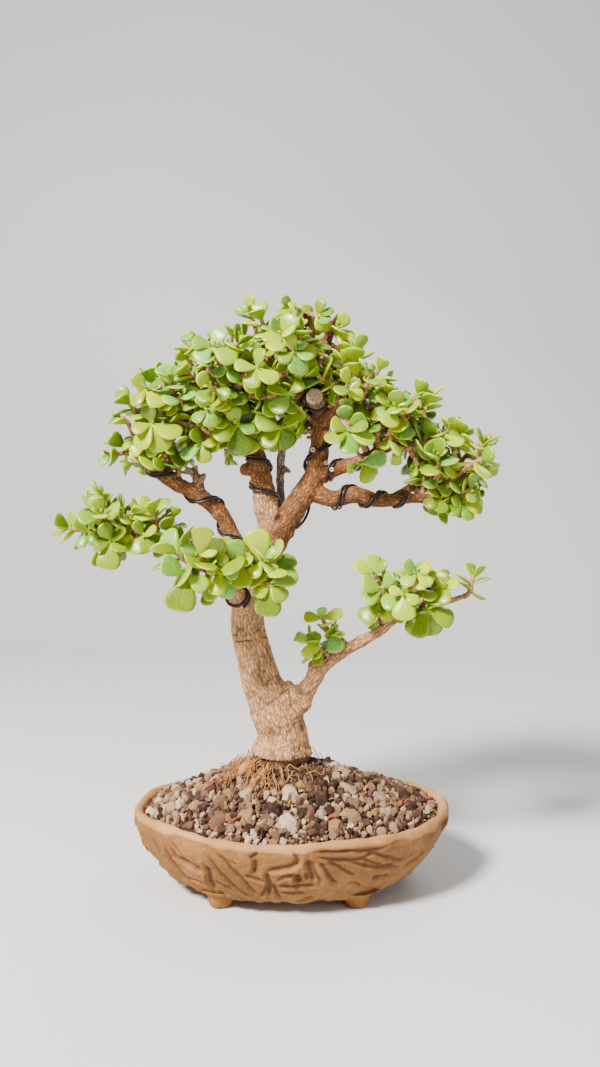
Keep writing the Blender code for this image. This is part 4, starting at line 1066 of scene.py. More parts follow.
class Crowd:
    # all the leaves and twigs so far, in cells, so that new ones stay clear of them
    def __init__(self, cell=0.016):
        self.cell = cell
        self.cells = {}

    def span(self, low, high):
        ranges = [range(math.floor(a / self.cell), math.floor(b / self.cell) + 1) for a, b in zip(low, high)]
        return [(x, y, z) for x in ranges[0] for y in ranges[1] for z in ranges[2]]

    def add(self, points, faces, owner=None):
        low, high = boxOf(points)
        item = (low, high, BVHTree.FromPolygons(points, faces), owner)
        for key in self.span(low, high):
            self.cells.setdefault(key, []).append(item)

    def clear(self, points, faces, owner):
        low, high = boxOf(points)
        own = None
        seen = set()
        for key in self.span(low, high):
            for item in self.cells.get(key, ()):
                if id(item) in seen or (owner is not None and item[3] == owner):
                    continue
                seen.add(id(item))
                otherLow, otherHigh, other = item[:3]
                if any(low[a] > otherHigh[a] or high[a] < otherLow[a] for a in range(3)):
                    continue
                own = own or BVHTree.FromPolygons(points, faces)
                if own.overlap(other):
                    return False
        return True


def findLeaves(route, turn, length, near):
    # the leaves that the solid has on a twig: those whose points are in its cloud
    found = []
    for pair in range(3):
        for side in (0, 1):
            for bend in leaves["bends"]:
                leaf = leafPose(route, pair, side, turn, length, bend)
                if leaf and sum(near.find(point)[2] < 0.00005 for point in solidLeaf(leaf)[1:]) >= 5:
                    found.append(dict(leaf, pair=pair))
                    break
    return found


def findSpray(name, pad, number, index):
    # the twig and the leaves of one solid spray, found by which of the tries its points agree with
    cloud = pointsOf(frame["nodes"][name].data)
    near = KDTree(len(cloud))
    for k, point in enumerate(cloud):
        near.insert(point, k)
    near.balance()

    def ringAt(place, radius, axis=None):
        found = 0
        for point, _, distance in near.find_range(place, radius + 0.00004):
            flat = axis is None or abs((point - place).dot(axis)) < 0.00004
            found += abs(distance - radius) < 0.00004 and flat
        return found

    for moreTurn, stretch in twigs["tipTries"]:
        tip, heading = padTip(pad, number, pad["sprays"], moreTurn, stretch)
        if ringAt(tip, twigs["radii"][1]) < 3:
            continue
        for sample in sampleLimbs(pad["limbs"]):
            start, out = leaveLimb(sample, tip, solidBark)
            if start is None or ringAt(start, twigs["radii"][0], out) < 4:
                continue
            route = twigRoute(start, out, tip, heading)
            return {"name": name, "tip": tip, "start": start, "out": out, "route": route,
                    "leaves": findLeaves(route, leaves["turnEach"] * index, pad["leaf"], near)}
    return None


sprays = []
for padName, pad in pads.items():
    for number in range(pad["sprays"]):
        sprayName = "spray_{}_{}".format(padName, number + 1)
        found = findSpray(sprayName, pad, number, len(sprays))
        if not found:
            raise SystemExit("the solids' " + sprayName + " wasn't found")
        found["pad"] = padName
        sprays.append(found)
print("sprays found:", len(sprays), "with", sum(len(spray["leaves"]) for spray in sprays), "leaves")


# New growth: what the photograph shows in front, then more twigs that fill the pads

# its place in metres, then its focal length and the photograph's middle in pixels
camera = {"at": Vector((0.0054, -0.475, 0.185)), "focal": 880.0, "middle": (300.0, 533.5)}


def seen(across, down, depth):
    # the point that the photograph shows at a pixel, at a depth in millimetres
    depth = metres(depth)
    reach = (depth - camera["at"].y) / camera["focal"]
    return Vector((camera["at"].x + (across - camera["middle"][0]) * reach, depth,
                   camera["at"].z - (down - camera["middle"][1]) * reach))


# leafy tips seen in front: pad, limb, then the pixel and the depth in millimetres of the tip and of each
# leaf's end
frontTips = (
    ("crown_right", "crown_right_front", (348, 431, -40), (330, 421, -44), (326, 440, -46),
     (350, 456, -47), (369, 425, -44), (375, 443, -43)),
    ("right_upper", "right_middle", (361, 463, -28), (387, 457, -34), (346, 472, -26)),
    ("right_upper", "right_middle", (391, 407, -26), (377, 394, -29), (411, 395, -29), (389, 428, -33),
     (408, 412, -30)),
    ("crown_top", "apex_twig", (318, 316, -10), (322, 298, -13), (335, 309, -13), (329, 324, -14)),
    ("crown_shoulder", "crown_middle", (250, 311, -4), (250, 294, -7), (264, 307, -8), (237, 309, -8)),
    ("crown_top", "crown_middle", (290, 309, -6), (284, 295, -9), (303, 313, -10), (280, 318, -12)),
    ("crown_shoulder", "left_leader", (238, 424, -22), (214, 440, -26), (241, 457, -24), (232, 408, -28),
     (255, 432, -25)),
    ("crown_top", "left_leader", (281, 428, -16), (261, 446, -20), (254, 421, -23), (299, 414, -20),
     (292, 449, -12)),
    ("crown_top", "crown_left_front", (289, 394, -30), (273, 413, -34), (266, 388, -34), (303, 381, -33)),
    ("crown_shoulder", "crown_left_front", (257, 368, -40), (233, 366, -43), (276, 384, -44),
     (262, 347, -41), (250, 389, -43)),
    ("crown_shoulder", "crown_left", (207, 409, -26), (228, 401, -30), (193, 422, -29), (196, 395, -29),
     (213, 428, -29)),
    ("crown_left", "crown_left", (202, 444, -14), (180, 457, -17), (205, 464, -16), (192, 429, -18),
     (217, 440, -18)),
    ("crown_left", "left_up", (152, 424, -18), (131, 431, -21), (181, 436, -22), (138, 449, -20),
     (164, 452, -20), (148, 404, -20)),
    ("crown_left", "crown_left", (147, 389, -20), (163, 407, -24), (132, 376, -21), (131, 405, -23),
     (163, 380, -24)),
    ("crown_shoulder", "crown_left_front", (212, 347, -38), (236, 360, -42), (196, 362, -41),
     (191, 340, -39), (222, 328, -39)),
    ("crown_top", "crown_front", (295, 352, -40), (279, 362, -43), (287, 334, -41), (313, 360, -43),
     (300, 375, -43)),
    ("right_outer", "right_low", (462, 503, -16), (447, 514, -20), (470, 522, -18), (484, 510, -16),
     (472, 492, -20)),
    ("right_outer", "right_low", (440, 497, -18), (425, 506, -21), (441, 514, -21), (429, 488, -22)),
    ("left_outer", "left_low", (112, 541, -14), (101, 523, -17), (107, 571, -18), (126, 530, -18),
     (92, 549, -16), (124, 552, -19)),
    ("left_outer", "left_low", (88, 531, -10), (73, 520, -12), (79, 549, -13), (96, 516, -14),
     (101, 542, -15)),
    ("left_inner", "left_low", (143, 536, -12), (131, 554, -16), (150, 553, -16), (134, 520, -15),
     (157, 529, -16)),
    ("front_left", "front", (187, 574, -52), (160, 562, -56), (178, 613, -56), (207, 589, -55)),
    ("front_left", "front", (199, 556, -50), (204, 525, -53), (180, 545, -52), (218, 549, -52)),
    ("front_left", "front", (220, 572, -47), (216, 597, -51), (205, 568, -51), (224, 551, -48)),
    ("front_middle", "front_right", (240, 567, -45), (233, 539, -48), (254, 557, -47), (243, 589, -49),
     (226, 578, -49)),
    ("front_middle", "front_right", (262, 562, -43), (255, 528, -45), (276, 547, -43), (250, 578, -47),
     (277, 574, -46)),
    ("front_middle", "front_right", (270, 584, -41), (267, 618, -45), (299, 573, -42), (285, 602, -43),
     (255, 598, -44)),
    ("low_right", "right_base", (374, 574, -18), (354, 563, -21), (388, 561, -20), (372, 553, -17)),
    ("low_right", "right_base", (382, 590, -21), (361, 581, -25), (362, 602, -25), (394, 573, -24)),
    ("low_right", "right_base", (379, 605, -17), (360, 621, -20), (393, 620, -21)),
    ("low_right", "right_base", (417, 574, -25), (403, 562, -27), (431, 563, -27), (402, 584, -30),
     (431, 587, -29)),
    ("low_right", "right_base", (404, 594, -30), (404, 622, -34), (389, 588, -32), (419, 602, -34)),
    ("low_right", "right_base", (427, 608, -20), (433, 637, -23), (412, 637, -24), (455, 622, -21),
     (449, 589, -21)),
    ("low_start", "right_base", (322, 618, -12), (303, 617, -14), (344, 613, -14), (321, 606, -14)),
    ("low_start", "right_base", (331, 633, -10), (338, 653, -14), (346, 636, -11)),
    ("low_start", "right_base", (311, 643, -14), (296, 634, -17), (322, 635, -16), (306, 659, -18),
     (319, 653, -17)),
)
# more volumes that the leaves fill: pad, limbs, middle and reach in millimetres, number of twigs
fills = (
    ("crown_left", "crown_left left_up crown_left_back", (-71, -4, 245), (21, 26, 23), 40),
    ("crown_shoulder", "left_leader crown_left crown_left_back crown_left_front crown_middle",
     (-37, -4, 257), (26, 38, 20), 46),
    ("crown_left", "crown_left left_leader crown_left_back crown_left_front", (-52, 0, 267), (21, 26, 24),
     34),
    ("crown_shoulder", "crown_left left_leader crown_left_front", (-43, -6, 238), (27, 22, 13), 24),
    ("crown_top", "left_leader crown_middle crown_front crown_left_front crown_back", (-9, -4, 247),
     (18, 24, 13), 20),
    ("crown_top", "crown_middle crown_back crown_front crown_left_front", (-6, -4, 268), (24, 38, 20), 34),
    ("crown_right", "crown_right_back crown_right_front right_middle right_middle_back", (40, -2, 258),
     (20, 30, 20), 34),
    ("right_upper", "right_middle right_middle_back crown_right_back", (62, -3, 251), (20, 26, 21), 30),
    ("right_outer", "right_low right_low_back right_middle right_middle_back", (85, -3, 222), (22, 27, 24),
     46),
    ("left_outer", "left_low left_low_back", (-98, 0, 190), (23, 24, 18), 30),
    ("left_inner", "left_low left_stub", (-68, 2, 186), (13, 16, 13), 9),
    ("crown_left", "left_up crown_left", (-85, 0, 231), (12, 18, 14), 10),
    ("right_outer", "right_low right_low_back", (88, -3, 205), (16, 20, 10), 12),
    ("low_right", "right_base right_base_back", (62, -6, 155), (20, 18, 10), 9),
)
extra = {
    "seed": 41,
    "tries": 6,
    "tipClear": 0.0052,         # between a new tip and the others
    "footClear": 0.0018,
    "stretch": (0.5, 1.02),
    "nearest": 22,              # limb samples that a tip looks at
    "leafSize": (0.76, 1.02),   # of the pad's leaf
    "largest": 0.0134,
    "bare": 0.08,               # share of the inner leaves that have fallen
    "outwardPull": 0.55,        # how far a leaf's face turns out from its pad
    "sunPull": Vector((-0.12, -0.22, 0.1)),
    # bare cut ends that no leaf may cover from the front, in millimetres: x, y, z and radius
    "bareEnds": ((8.8, -3, 304, 4), (10.8, -1, 295.5, 3), (26.2, -1, 301, 4.8), (31.2, -4, 301, 2.6),
                 (22.2, 0, 293, 3.6), (20, -4, 294, 2.4)),
    "bareReach": (0.004, 0.034),  # how far towards the camera it stays clear, from and to
    "stubs": 34,                # pruned twigs
    "stubPads": 6,              # the pads that have them, the first ones
    "stubLowest": 0.215,
    "stubLong": (0.0022, 0.006),
    "stubRadius": (0.0008, 0.0014),
}
rng = random.Random(extra["seed"])
crowd = Crowd()


def stemGuard(route):
    return tubePart([Vector((*point.xyz, point.w + gap)) for point in route[1:]], 5)


def clearLeaf(leaf, owner):
    points = solidLeaf(leaf, 0.0001, 0.0017)
    if not crowd.clear(points, leafFaces, owner):
        return False
    outer = solidLeaf(dict(leaf, base=leaf["base"] + leaf["along"] * 0.0022, length=leaf["length"] * 0.8))
    return not woodSkin.overlap(BVHTree.FromPolygons(outer, leafFaces))


def addLeaf(spray, leaf):
    crowd.add(solidLeaf(leaf), leafFaces)
    spray["leaves"].append(leaf)


def growPairs(spray, size, turn, firstPair, lastPair, bare):
    # opposite pairs down the stem, each leaf bent the first way that keeps it clear
    outward = (spray["tip"] - Vector(pads[spray["pad"]]["middle"])).normalized()
    pull = up * leaves["lightPull"] + outward * extra["outwardPull"] + extra["sunPull"]
    for pair in range(firstPair, lastPair):
        for side in (0, 1):
            if pair > 1 and rng.random() < bare:
                continue
            own = size * rng.uniform(0.9, 1.08)
            for bend in leaves["bends"]:
                bend = (bend[0] + rng.uniform(-7, 7), bend[1] + rng.uniform(-9, 9), bend[2])
                leaf = leafPose(spray["route"], pair, side, turn, own, bend, pull)
                if leaf and clearLeaf(leaf, spray["owner"]):
                    leaf["pair"] = pair
                    addLeaf(spray, leaf)
                    break


def growBud(spray, turn, size):
    # the small new pair that stands up between the last leaves
    place, axis = backAlong(spray["route"], 0.0002)
    for side in (0, 1):
        lean = math.radians(rng.uniform(16, 30))
        first = axis.orthogonal().normalized()
        out = Matrix.Rotation(turn + pi / 2 + pi * side, 3, axis) @ first
        along = axis * cos(lean) + out * sin(lean)
        face = (axis * sin(lean) - out * cos(lean)).normalized()
        spray["leaves"].append({"base": place, "along": along, "face": face, "pair": -1,
                                "length": size * rng.uniform(0.3, 0.48)})


def newLeaf(padName):
    return min(pads[padName]["leaf"], extra["largest"])


def pairsOn(route):
    length = sum((b.xyz - a.xyz).length for a, b in zip(route, route[1:]))
    return min(len(leaves["lean"]), int((length - twigs["lastPair"]) / twigs["pairSpacing"] + 0.5))


for *place, radius in metres(extra["bareEnds"]):
    toward = (camera["at"] - Vector(place)).normalized()
    guard = [Vector((*(Vector(place) + toward * reach), radius)) for reach in extra["bareReach"]]
    crowd.add(*tubePart(guard, 6))
footPlaces = [spray["start"] for spray in sprays]
for number, spray in enumerate(sprays):
    spray["owner"] = number
    crowd.add(*stemGuard(spray["route"]), owner=number)
    for leaf in spray["leaves"]:
        crowd.add(solidLeaf(leaf), leafFaces)
nearestSpray = {padName: [spray for spray in sprays if spray["pad"] == padName] for padName in pads}


def newTwig(padName, start, out, tip, heading):
    return {"pad": padName, "tip": tip, "start": start, "out": out, "leaves": [],
            "route": twigRoute(start, out, tip, heading, 6), "owner": len(sprays) + len(newTwigs)}


def keepTwig(spray):
    # its leaves go with the nearest stem of the solids
    crowd.add(*stemGuard(spray["route"]), owner=spray["owner"])
    newTwigs.append(spray)
    footPlaces.append(spray["start"])
    spray["with"] = min(nearestSpray[spray["pad"]], key=lambda own: (own["tip"] - spray["tip"]).length)


newTwigs = []
for padName, limbName, tip, *ends in frontTips:
    place = seen(*tip)
    samples = sorted(sampleLimbs((limbName,)), key=lambda sample: (sample[0].xyz - place).length)
    start, out = leaveLimb(samples[min(2, len(samples) - 1)], place, woodSkin)
    if start is None:
        start, out = samples[0][0].xyz, (place - samples[0][0].xyz).normalized()
    heading = ((place - start).normalized() + Vector((0.0, -0.5, 0.4))).normalized()
    spray = newTwig(padName, start, out, place, heading)
    for end in ends:
        way = seen(*end) - place
        along = way.normalized()
        face = Vector((rng.uniform(-0.25, 0.15), -0.75, 0.65))
        face = (face - along * face.dot(along)).normalized()
        addLeaf(spray, {"base": place - along * leaves["root"], "along": along, "face": face,
                        "length": way.length, "pair": 0})
    growBud(spray, rng.uniform(0, 3), 0.01)
    keepTwig(spray)
    growPairs(spray, newLeaf(padName) * 0.9, rng.uniform(0, 3), 1, pairsOn(spray["route"]), 0.3)
print("front tips:", len(newTwigs))

for number, spray in enumerate(sprays):
    size = newLeaf(spray["pad"])
    growPairs(spray, size * 0.9, leaves["turnEach"] * number, 3, pairsOn(spray["route"]), extra["bare"])
    growBud(spray, leaves["turnEach"] * number, size)


def growTo(tip, heading, padName, samples):
    # a twig to the tip from the nearest limb where it has room
    near = sorted(samples, key=lambda sample: (sample[0].xyz - tip).length)[:extra["nearest"]]
    for sample in near:
        start, out = leaveLimb(sample, tip, woodSkin)
        if start is None or min((start - other).length for other in footPlaces) < extra["footClear"]:
            continue
        spray = newTwig(padName, start, out, tip, heading)
        if crowd.clear(*stemGuard(spray["route"]), None):
            return spray
    return None


def fillPad(padName, pad, limbNames, count):
    # spreads tips through an ellipsoid and grows a twig to each that has room
    tips = [spray["tip"] for spray in sprays + newTwigs]
    samples = sampleLimbs(limbNames)
    leafSize = newLeaf(padName)
    for number in range(count):
        for _ in range(extra["tries"]):
            stretch = rng.uniform(*extra["stretch"])
            tip, heading = padTip(pad, number, count, 70 + rng.uniform(-16, 16), stretch)
            if min((tip - other).length for other in tips) < extra["tipClear"]:
                continue
            made = growTo(tip, heading, padName, samples)
            if made:
                tips.append(tip)
                keepTwig(made)
                turn = rng.uniform(0, pi)
                size = leafSize * rng.uniform(*extra["leafSize"])
                growPairs(made, size, turn, 0, pairsOn(made["route"]), extra["bare"])
                growBud(made, turn, size)
                break


for padName, pad in pads.items():
    fillPad(padName, pad, pad["limbs"], pad["sprays"] + pad["more"])
for padName, limbNames, middle, reach, count in fills:
    volume = {"middle": metres(middle), "reach": metres(reach), "low": -0.95, "turn": 0.7}
    fillPad(padName, volume, limbNames.split(), count)
print("new twigs:", len(newTwigs), "leaves:", sum(len(spray["leaves"]) for spray in sprays + newTwigs))


# Stems: brown and knobby, with a scar where each pair of leaves sat

stems = {
    "sides": 7,
    "step": 0.0007,
    "sink": 0.0016,             # how deep a stem starts in its limb
    "knot": 0.24,               # how far its joints swell
    "knotLong": 0.00055,
    "tipGreen": (0.0062, 0.002),   # distances from the tip where green starts and is full
}


def makeStemFinish():
    stem = Finish("stemFinish", Specular_IOR_Level=0.35)
    place = stem.place()
    fromTip = stem.own("fromTip")
    cut = stem.own("cutTone")
    fine = stem.noise(place, 1500.0, 3.0, 0.6)
    colour = stem.ramp(fine, (0.3, 92, 52, 32), (0.5, 150, 94, 58), (0.72, 196, 150, 104))
    young = stem.mix(stem.noise(place, 500.0), tone(146, 158, 60), tone(176, 120, 84))
    colour = stem.layers(
        colour, (stem.rise(fromTip, *stems["tipGreen"]) * 0.85, young),
        (stem.rise(stem.own("scar"), 0.45, 0.95) * 0.55, tone(214, 190, 156)),
        (stem.rise(cut, 0.3, 0.6), tone(226, 206, 176)), (stem.rise(cut, 1.3, 1.6), tone(66, 42, 34)))
    stem.set(Base_Color=colour, Roughness=fine * 0.3 + 0.5)
    stem.set(Normal=stem.bump(fine, 0.5, 0.0003))
    return stem.material


stemFinish = makeStemFinish()


def stemRoute(route, out):
    # one stem finely sampled, with its distance from the tip and its scars
    foot = Vector((*(route[0].xyz - out * stems["sink"]), route[0].w * 1.15))
    line = smoothRoute([foot] + route, stems["step"])
    lengths = [0.0]
    for after, before in zip(reversed(line), reversed(line[:-1])):
        lengths.append(lengths[-1] + (after.xyz - before.xyz).length)
    lengths.reverse()
    made = []
    scars = []
    for point, back in zip(line, lengths):
        fromPair = (back - twigs["lastPair"]) / twigs["pairSpacing"]
        near = math.exp(-((fromPair - round(fromPair)) * twigs["pairSpacing"] / stems["knotLong"]) ** 2)
        near = near if fromPair > -0.4 else 0.0
        bent = 1.0 + 0.1 * noise.noise(point.xyz * 420)
        made.append(Vector((*point.xyz, point.w * bent * (1.0 + stems["knot"] * near))))
        scars.append(near)
    last = made[-1]
    ahead = (last.xyz - made[-2].xyz).normalized()
    for more, share in ((0.0003, 0.75), (0.0005, 0.35)):
        made.append(Vector((*(last.xyz + ahead * more), last.w * share)))
        scars.append(0.0)
        lengths.append(0.0)
    return made, lengths, scars


def stubRoute(start, out, length, radius):
    # a pruned twig: a pale cut ring round a dark pith
    made = [start - out * 0.0012, start + out * length * 0.5, start + out * length]
    line = [Vector((*point, radius * share)) for point, share in zip(made, (1.25, 1.05, 1.0))]
    cuts = [0.0, 0.0, 0.0]
    for more, share, cut in ((0.00005, 1.12, 0.0), (0.00012, 1.02, 1.0), (0.00014, 0.62, 1.0),
                             (0.00015, 0.42, 2.0), (0.00016, 0.2, 2.0)):
        line.append(Vector((*(start + out * (length + more)), radius * share)))
        cuts.append(cut)
    return line, cuts


# each pad's stems: route, distances from the tip, scars and cuts
stemItems = {padName: [] for padName in pads}
for spray in sprays + newTwigs:
    route, back, scars = stemRoute(spray["route"], spray["out"])
    stemItems[spray["pad"]].append((route, back, scars, [0.0] * len(route)))
padNames = list(pads)
stubCount = 0
while stubCount < extra["stubs"]:
    padName = rng.choice(padNames[:extra["stubPads"]])
    samples = sampleLimbs(pads[padName]["limbs"])
    sample = rng.choice([item for item in samples if item[0].z > extra["stubLowest"]])
    toward = sample[0].xyz + Vector((rng.uniform(-1, 1), rng.uniform(-1, 0.6), rng.uniform(-0.2, 1))) * 0.03
    start, out = leaveLimb(sample, toward, woodSkin)
    if start is None:
        continue
    length = rng.uniform(*extra["stubLong"])
    radius = rng.uniform(*extra["stubRadius"])
    line, cuts = stubRoute(start, out, length, radius)
    stemItems[padName].append((line, [1.0] * len(line), [0.0] * len(line), cuts))
    stubCount += 1
for padName, items in stemItems.items():
    routes, *columns = zip(*items)
    own = {attribute: [value for values in column for value in values]
           for attribute, column in zip(("fromTip", "scar", "cutTone"), columns)}
    finishPiece(addStrands("stems_" + padName, routes, stems["sides"], stemFinish, own), "bark")
print("stems:", sum(len(items) for items in stemItems.values()))


# Leaves: small, fleshy and glossy, of a few shapes

leafLook = {
    "rimFrom": 0.35,
    "cells": 1150.0,            # mottling, in cells to the metre
}


def makeLeafShape(number, kind):
    cup, bow, square, roll, wide = kind
    count = leaves["round"]
    points = [Vector((0.0, -0.01, 0.0))]
    faces = []
    place = [(0.0, 0.0, 0.0)]
    rim = [1.0]
    stations = leaves["outline"]
    for station, ((along, half), body) in enumerate(zip(stations, leaves["body"])):
        if along > 0.8:
            half = half * (1.0 + 0.42 * square * (along - 0.8) / 0.18)
        half *= leaves["width"] * wide
        for k, angle in enumerate(ringAngles(count)):
            across = round(cos(angle), 6)
            if abs(across) not in (0.0, 1.0):
                across = math.copysign(0.74, across)
            thick = 0.085 * body * math.sqrt(max(0.0, 1.0 - across * across)) * (1 if k < count / 2 else -1)
            x = across * half
            z = thick + cup * 0.16 * (x / 0.41) ** 2 - bow * 0.2 * along * along
            turn = roll * along
            points.append(Vector((x * cos(turn) - z * sin(turn), along, x * sin(turn) + z * cos(turn))))
            place.append((across, along, 1.0 if 0 < k < count / 2 else -1.0 if k > count / 2 else 0.0))
            rim.append(1.0 if abs(across) == 1.0 or station == len(stations) - 1 else 0.0)
    points.append(Vector((0.0, 1.0, -bow * 0.2)))
    place.append((0.0, 1.0, 0.0))
    rim.append(1.0)
    for low in range(1, 1 + count * (len(stations) - 1), count):
        for k in range(count):
            after = (k + 1) % count
            faces.append((low + after, low + k, low + count + k, low + count + after))
    lastRing = 1 + count * (len(stations) - 1)
    for k in range(count):
        after = (k + 1) % count
        faces.append((0, 1 + k, 1 + after))
        faces.append((len(points) - 1, lastRing + after, lastRing + k))
    return addMesh("leafShape{}".format(number), points, faces, {"leafPlace": place, "leafRim": rim},
                   middle=Vector())


def makeLeafFinish():
    leaf = Finish("leafFinish", Coat_Roughness=0.2, Coat_IOR=1.45, Specular_IOR_Level=0.34,
                  Subsurface_Weight=0.12, Subsurface_Radius=(0.0012, 0.0016, 0.0005), Subsurface_Scale=1.0)
    place = leaf.place()
    hueSheenShade = leaf.own("leafTint", "Vector")
    own = leaf.own("leafPlace", "Vector")
    parts = {}
    for name, vector in (("hueSheenShade", hueSheenShade), ("own", own)):
        split = leaf.node("ShaderNodeSeparateXYZ", None, {"Vector": vector})
        parts[name] = [Value(leaf, socket) for socket in split.socket.node.outputs]
    hue, paintedSheen, shade = parts["hueSheenShade"]
    across, along, side = parts["own"]
    rim = leaf.own("leafRim")
    broad = leaf.noise(place, 260.0, 2.0, 0.5)
    mottle = leaf.cells(place, leafLook["cells"], "SMOOTH_F1")
    spots = leaf.rise(leaf.cells(place, 900.0, "F1"), 0.42, 0.12)
    green = leaf.mix(hue, tone(82, 130, 0), tone(168, 182, 0))
    green = leaf.mix(leaf.rise(broad, 0.35, 0.7) * 0.4, green, tone(122, 158, 0))
    # the pale bluish colour of the painted sheen
    pale = leaf.mix(leaf.rise(hue, 0.2, 0.8), tone(134, 200, 96), tone(194, 214, 8))
    onTop = leaf.rise(side, -0.3, 0.6)
    colour = leaf.layers(
        # painted sheen: pale on the upper faces of leaves that face up, stand high or far out; painted
        # shade: darker on low and inner leaves
        green, (paintedSheen * onTop * leaf.rise(mottle, 0.95, 0.25), pale), (shade, tone(62, 80, 0)),
        (spots * 0.2, tone(188, 212, 40)), (leaf.rise(along, 0.2, 0.0) * 0.5, tone(184, 200, 40)),
        (leaf.rise(rim, leafLook["rimFrom"], 0.95) * 0.5, tone(196, 218, 30)))
    leaf.set(Base_Color=colour, Roughness=leaf.noise(place, 700.0, 2.0) * 0.18 + 0.24)
    leaf.set(Coat_Weight=leaf.rise(broad, 0.3, 0.7) * 0.3 + 0.06)
    crease = leaf.rise(abs(across), 0.16, 0.0) * leaf.rise(along, 0.95, 0.6)
    low = leaf.bump(mottle, 0.3, 0.00025)
    leaf.set(Normal=leaf.bump(crease * -1.0, 0.25, 0.0003, low))
    return leaf.material


leafFinish = makeLeafFinish()
leafShapes = [makeLeafShape(number, kind) for number, kind in enumerate(leaves["shapes"])]
leafShapes = shapeCollection("leafShapes", leafShapes)


def addLeaves(name, items):
    # every leaf of one stem and of the new ones round it
    rows = {"shapeTurn": [], "shapeSize": [], "leafTint": []}
    kinds = []
    points = []
    for leaf, pad in items:
        along, face = leaf["along"], leaf["face"]
        across = along.cross(face).normalized()
        face = across.cross(along)
        turn = Matrix((across, along, face)).transposed().to_euler()
        length = leaf["length"]
        points.append(leaf["base"])
        rows["shapeTurn"].append(tuple(turn))
        wide = rng.uniform(0.92, 1.08) if leaf["pair"] >= 0 else 0.62
        thick = leaves["thick"] / (0.17 * length) * rng.uniform(0.85, 1.1)
        rows["shapeSize"].append((length * wide, length, length * min(thick, 1.25)))
        out = (leaf["base"] - Vector(pad["middle"])).length / max(pad["reach"])
        high = smoothStep(-0.6, 0.8, (leaf["base"].z - pad["middle"][2]) / pad["reach"][2])
        # how lit a leaf stands, by its face turned up, its height and how far out it is in its pad: it sets
        # the painted sheen and the painted shade
        light = float(np.clip(0.45 * max(0.0, face.z) + 0.35 * high + 0.2 * out, 0.0, 1.0))
        paintedSheen = float(np.clip(rng.gauss(light - 0.18, 0.32), 0.0, 1.0))
        shade = float(np.clip(rng.gauss(0.6 - light, 0.24), 0.0, 0.9))
        rows["leafTint"].append((rng.random(), paintedSheen, shade))
        kinds.append(rng.randrange(len(leaves["shapes"])))
    made = addMesh(name, points, [], rows)
    made.data.attributes.new("shapeKind", "INT", "POINT").data.foreach_set("value", kinds)
    return runTree(made, *shapeTree, {"Shapes": leafShapes, "Material": leafFinish})


leafItems = {spray["name"]: [(leaf, pads[spray["pad"]]) for leaf in spray["leaves"]] for spray in sprays}
for spray in newTwigs:
    leafItems[spray["with"]["name"]] += [(leaf, pads[spray["pad"]]) for leaf in spray["leaves"]]
for sprayName, items in leafItems.items():
    finishPiece(addLeaves("leaves" + sprayName[5:], items), "leaf", sprayName)
dropCollection(leafShapes)
print("leaves:", sum(len(items) for items in leafItems.values()))


# Pot: an oval bowl pinched from grogged clay, with strokes carved round its wall

pot = {
    "half": (0.0842, 0.066),
    "around": 880,
    "outer": ((0.66, 0.0045), (0.745, 0.0065), (0.81, 0.01), (0.888, 0.0175), (0.952, 0.0255),
              (0.995, 0.0335), (0.998, 0.0368), (0.99, 0.0392), (0.972, 0.0404)),
    "inner": ((0.972, 0.0404), (0.953, 0.0401), (0.938, 0.0384), (0.918, 0.033), (0.86, 0.0235),
              (0.78, 0.0155), (0.7, 0.0105)),
    "floorTop": 0.0105,
    "rimHeight": 0.0385,
    "wobbleOut": ((0.008, 3, 0.7), (0.006, 7, 2.0)),
    "wobbleUp": ((0.0009, 2, 0.5), (0.0007, 5, 1.1)),
    "band": 0.0372,             # lower edge of the smooth lip
    "bandSoft": 0.0012,         # half the height over which the wall turns into it
    "lip": 0.00022,             # how far it stands out
    # size and depth of the fingers' hollows and of the finer unevenness
    "hollows": ((0.0125, 0.0007), (0.0052, 0.00028), (0.0016, 0.00009)),
    "ragged": ((0.0058, 0.0012), (0.0026, 0.0005)),     # the same of the wall's ragged foot
    "feet": (0.0335, 0.036),
    "footRoute": ((0.0, 0.0044), (0.0006, 0.0056), (0.0022, 0.0062), (0.0045, 0.0071), (0.0066, 0.0084),
                  (0.009, 0.0112)),
    "drainAt": 0.03,
    "drainRadius": 0.006,
    "sides": 40,                # of a foot and of a drain hole
    "strokeWide": 0.0012,
    "strokeDeep": 0.00145,
    "strokeReach": 0.007,       # how far from its line a stroke can mark the wall
    "backStrokes": 13,          # the rule's main ones, as in the solids
    "backAngles": (216.0, 18.0),    # degrees they span, and how far before the right side they start
    "backSlant": 6.5,           # degrees round the wall from a stroke's middle to its ends
    "backLow": (0.0135, 0.006),     # lowest end, and how much higher it may be
    "backHigh": (0.009, 0.3),   # rise, and the share that it varies by
    "backWidth": 1.5,
    "moreStrokes": 70,          # thinner ones round the back and the sides, drawn at random
    "moreAngles": (220, 20),    # degrees, as above
    "moreLow": (0.009, 0.034),
    "moreHigh": (-0.015, 0.015),
    "moreReach": (0.08, 0.24),
    "moreCurl": (-0.003, 0.003),
    "moreWidth": (0.6, 1.4),
    "strokeHeights": (0.0085, 0.0365),
    "seed": 23,
}
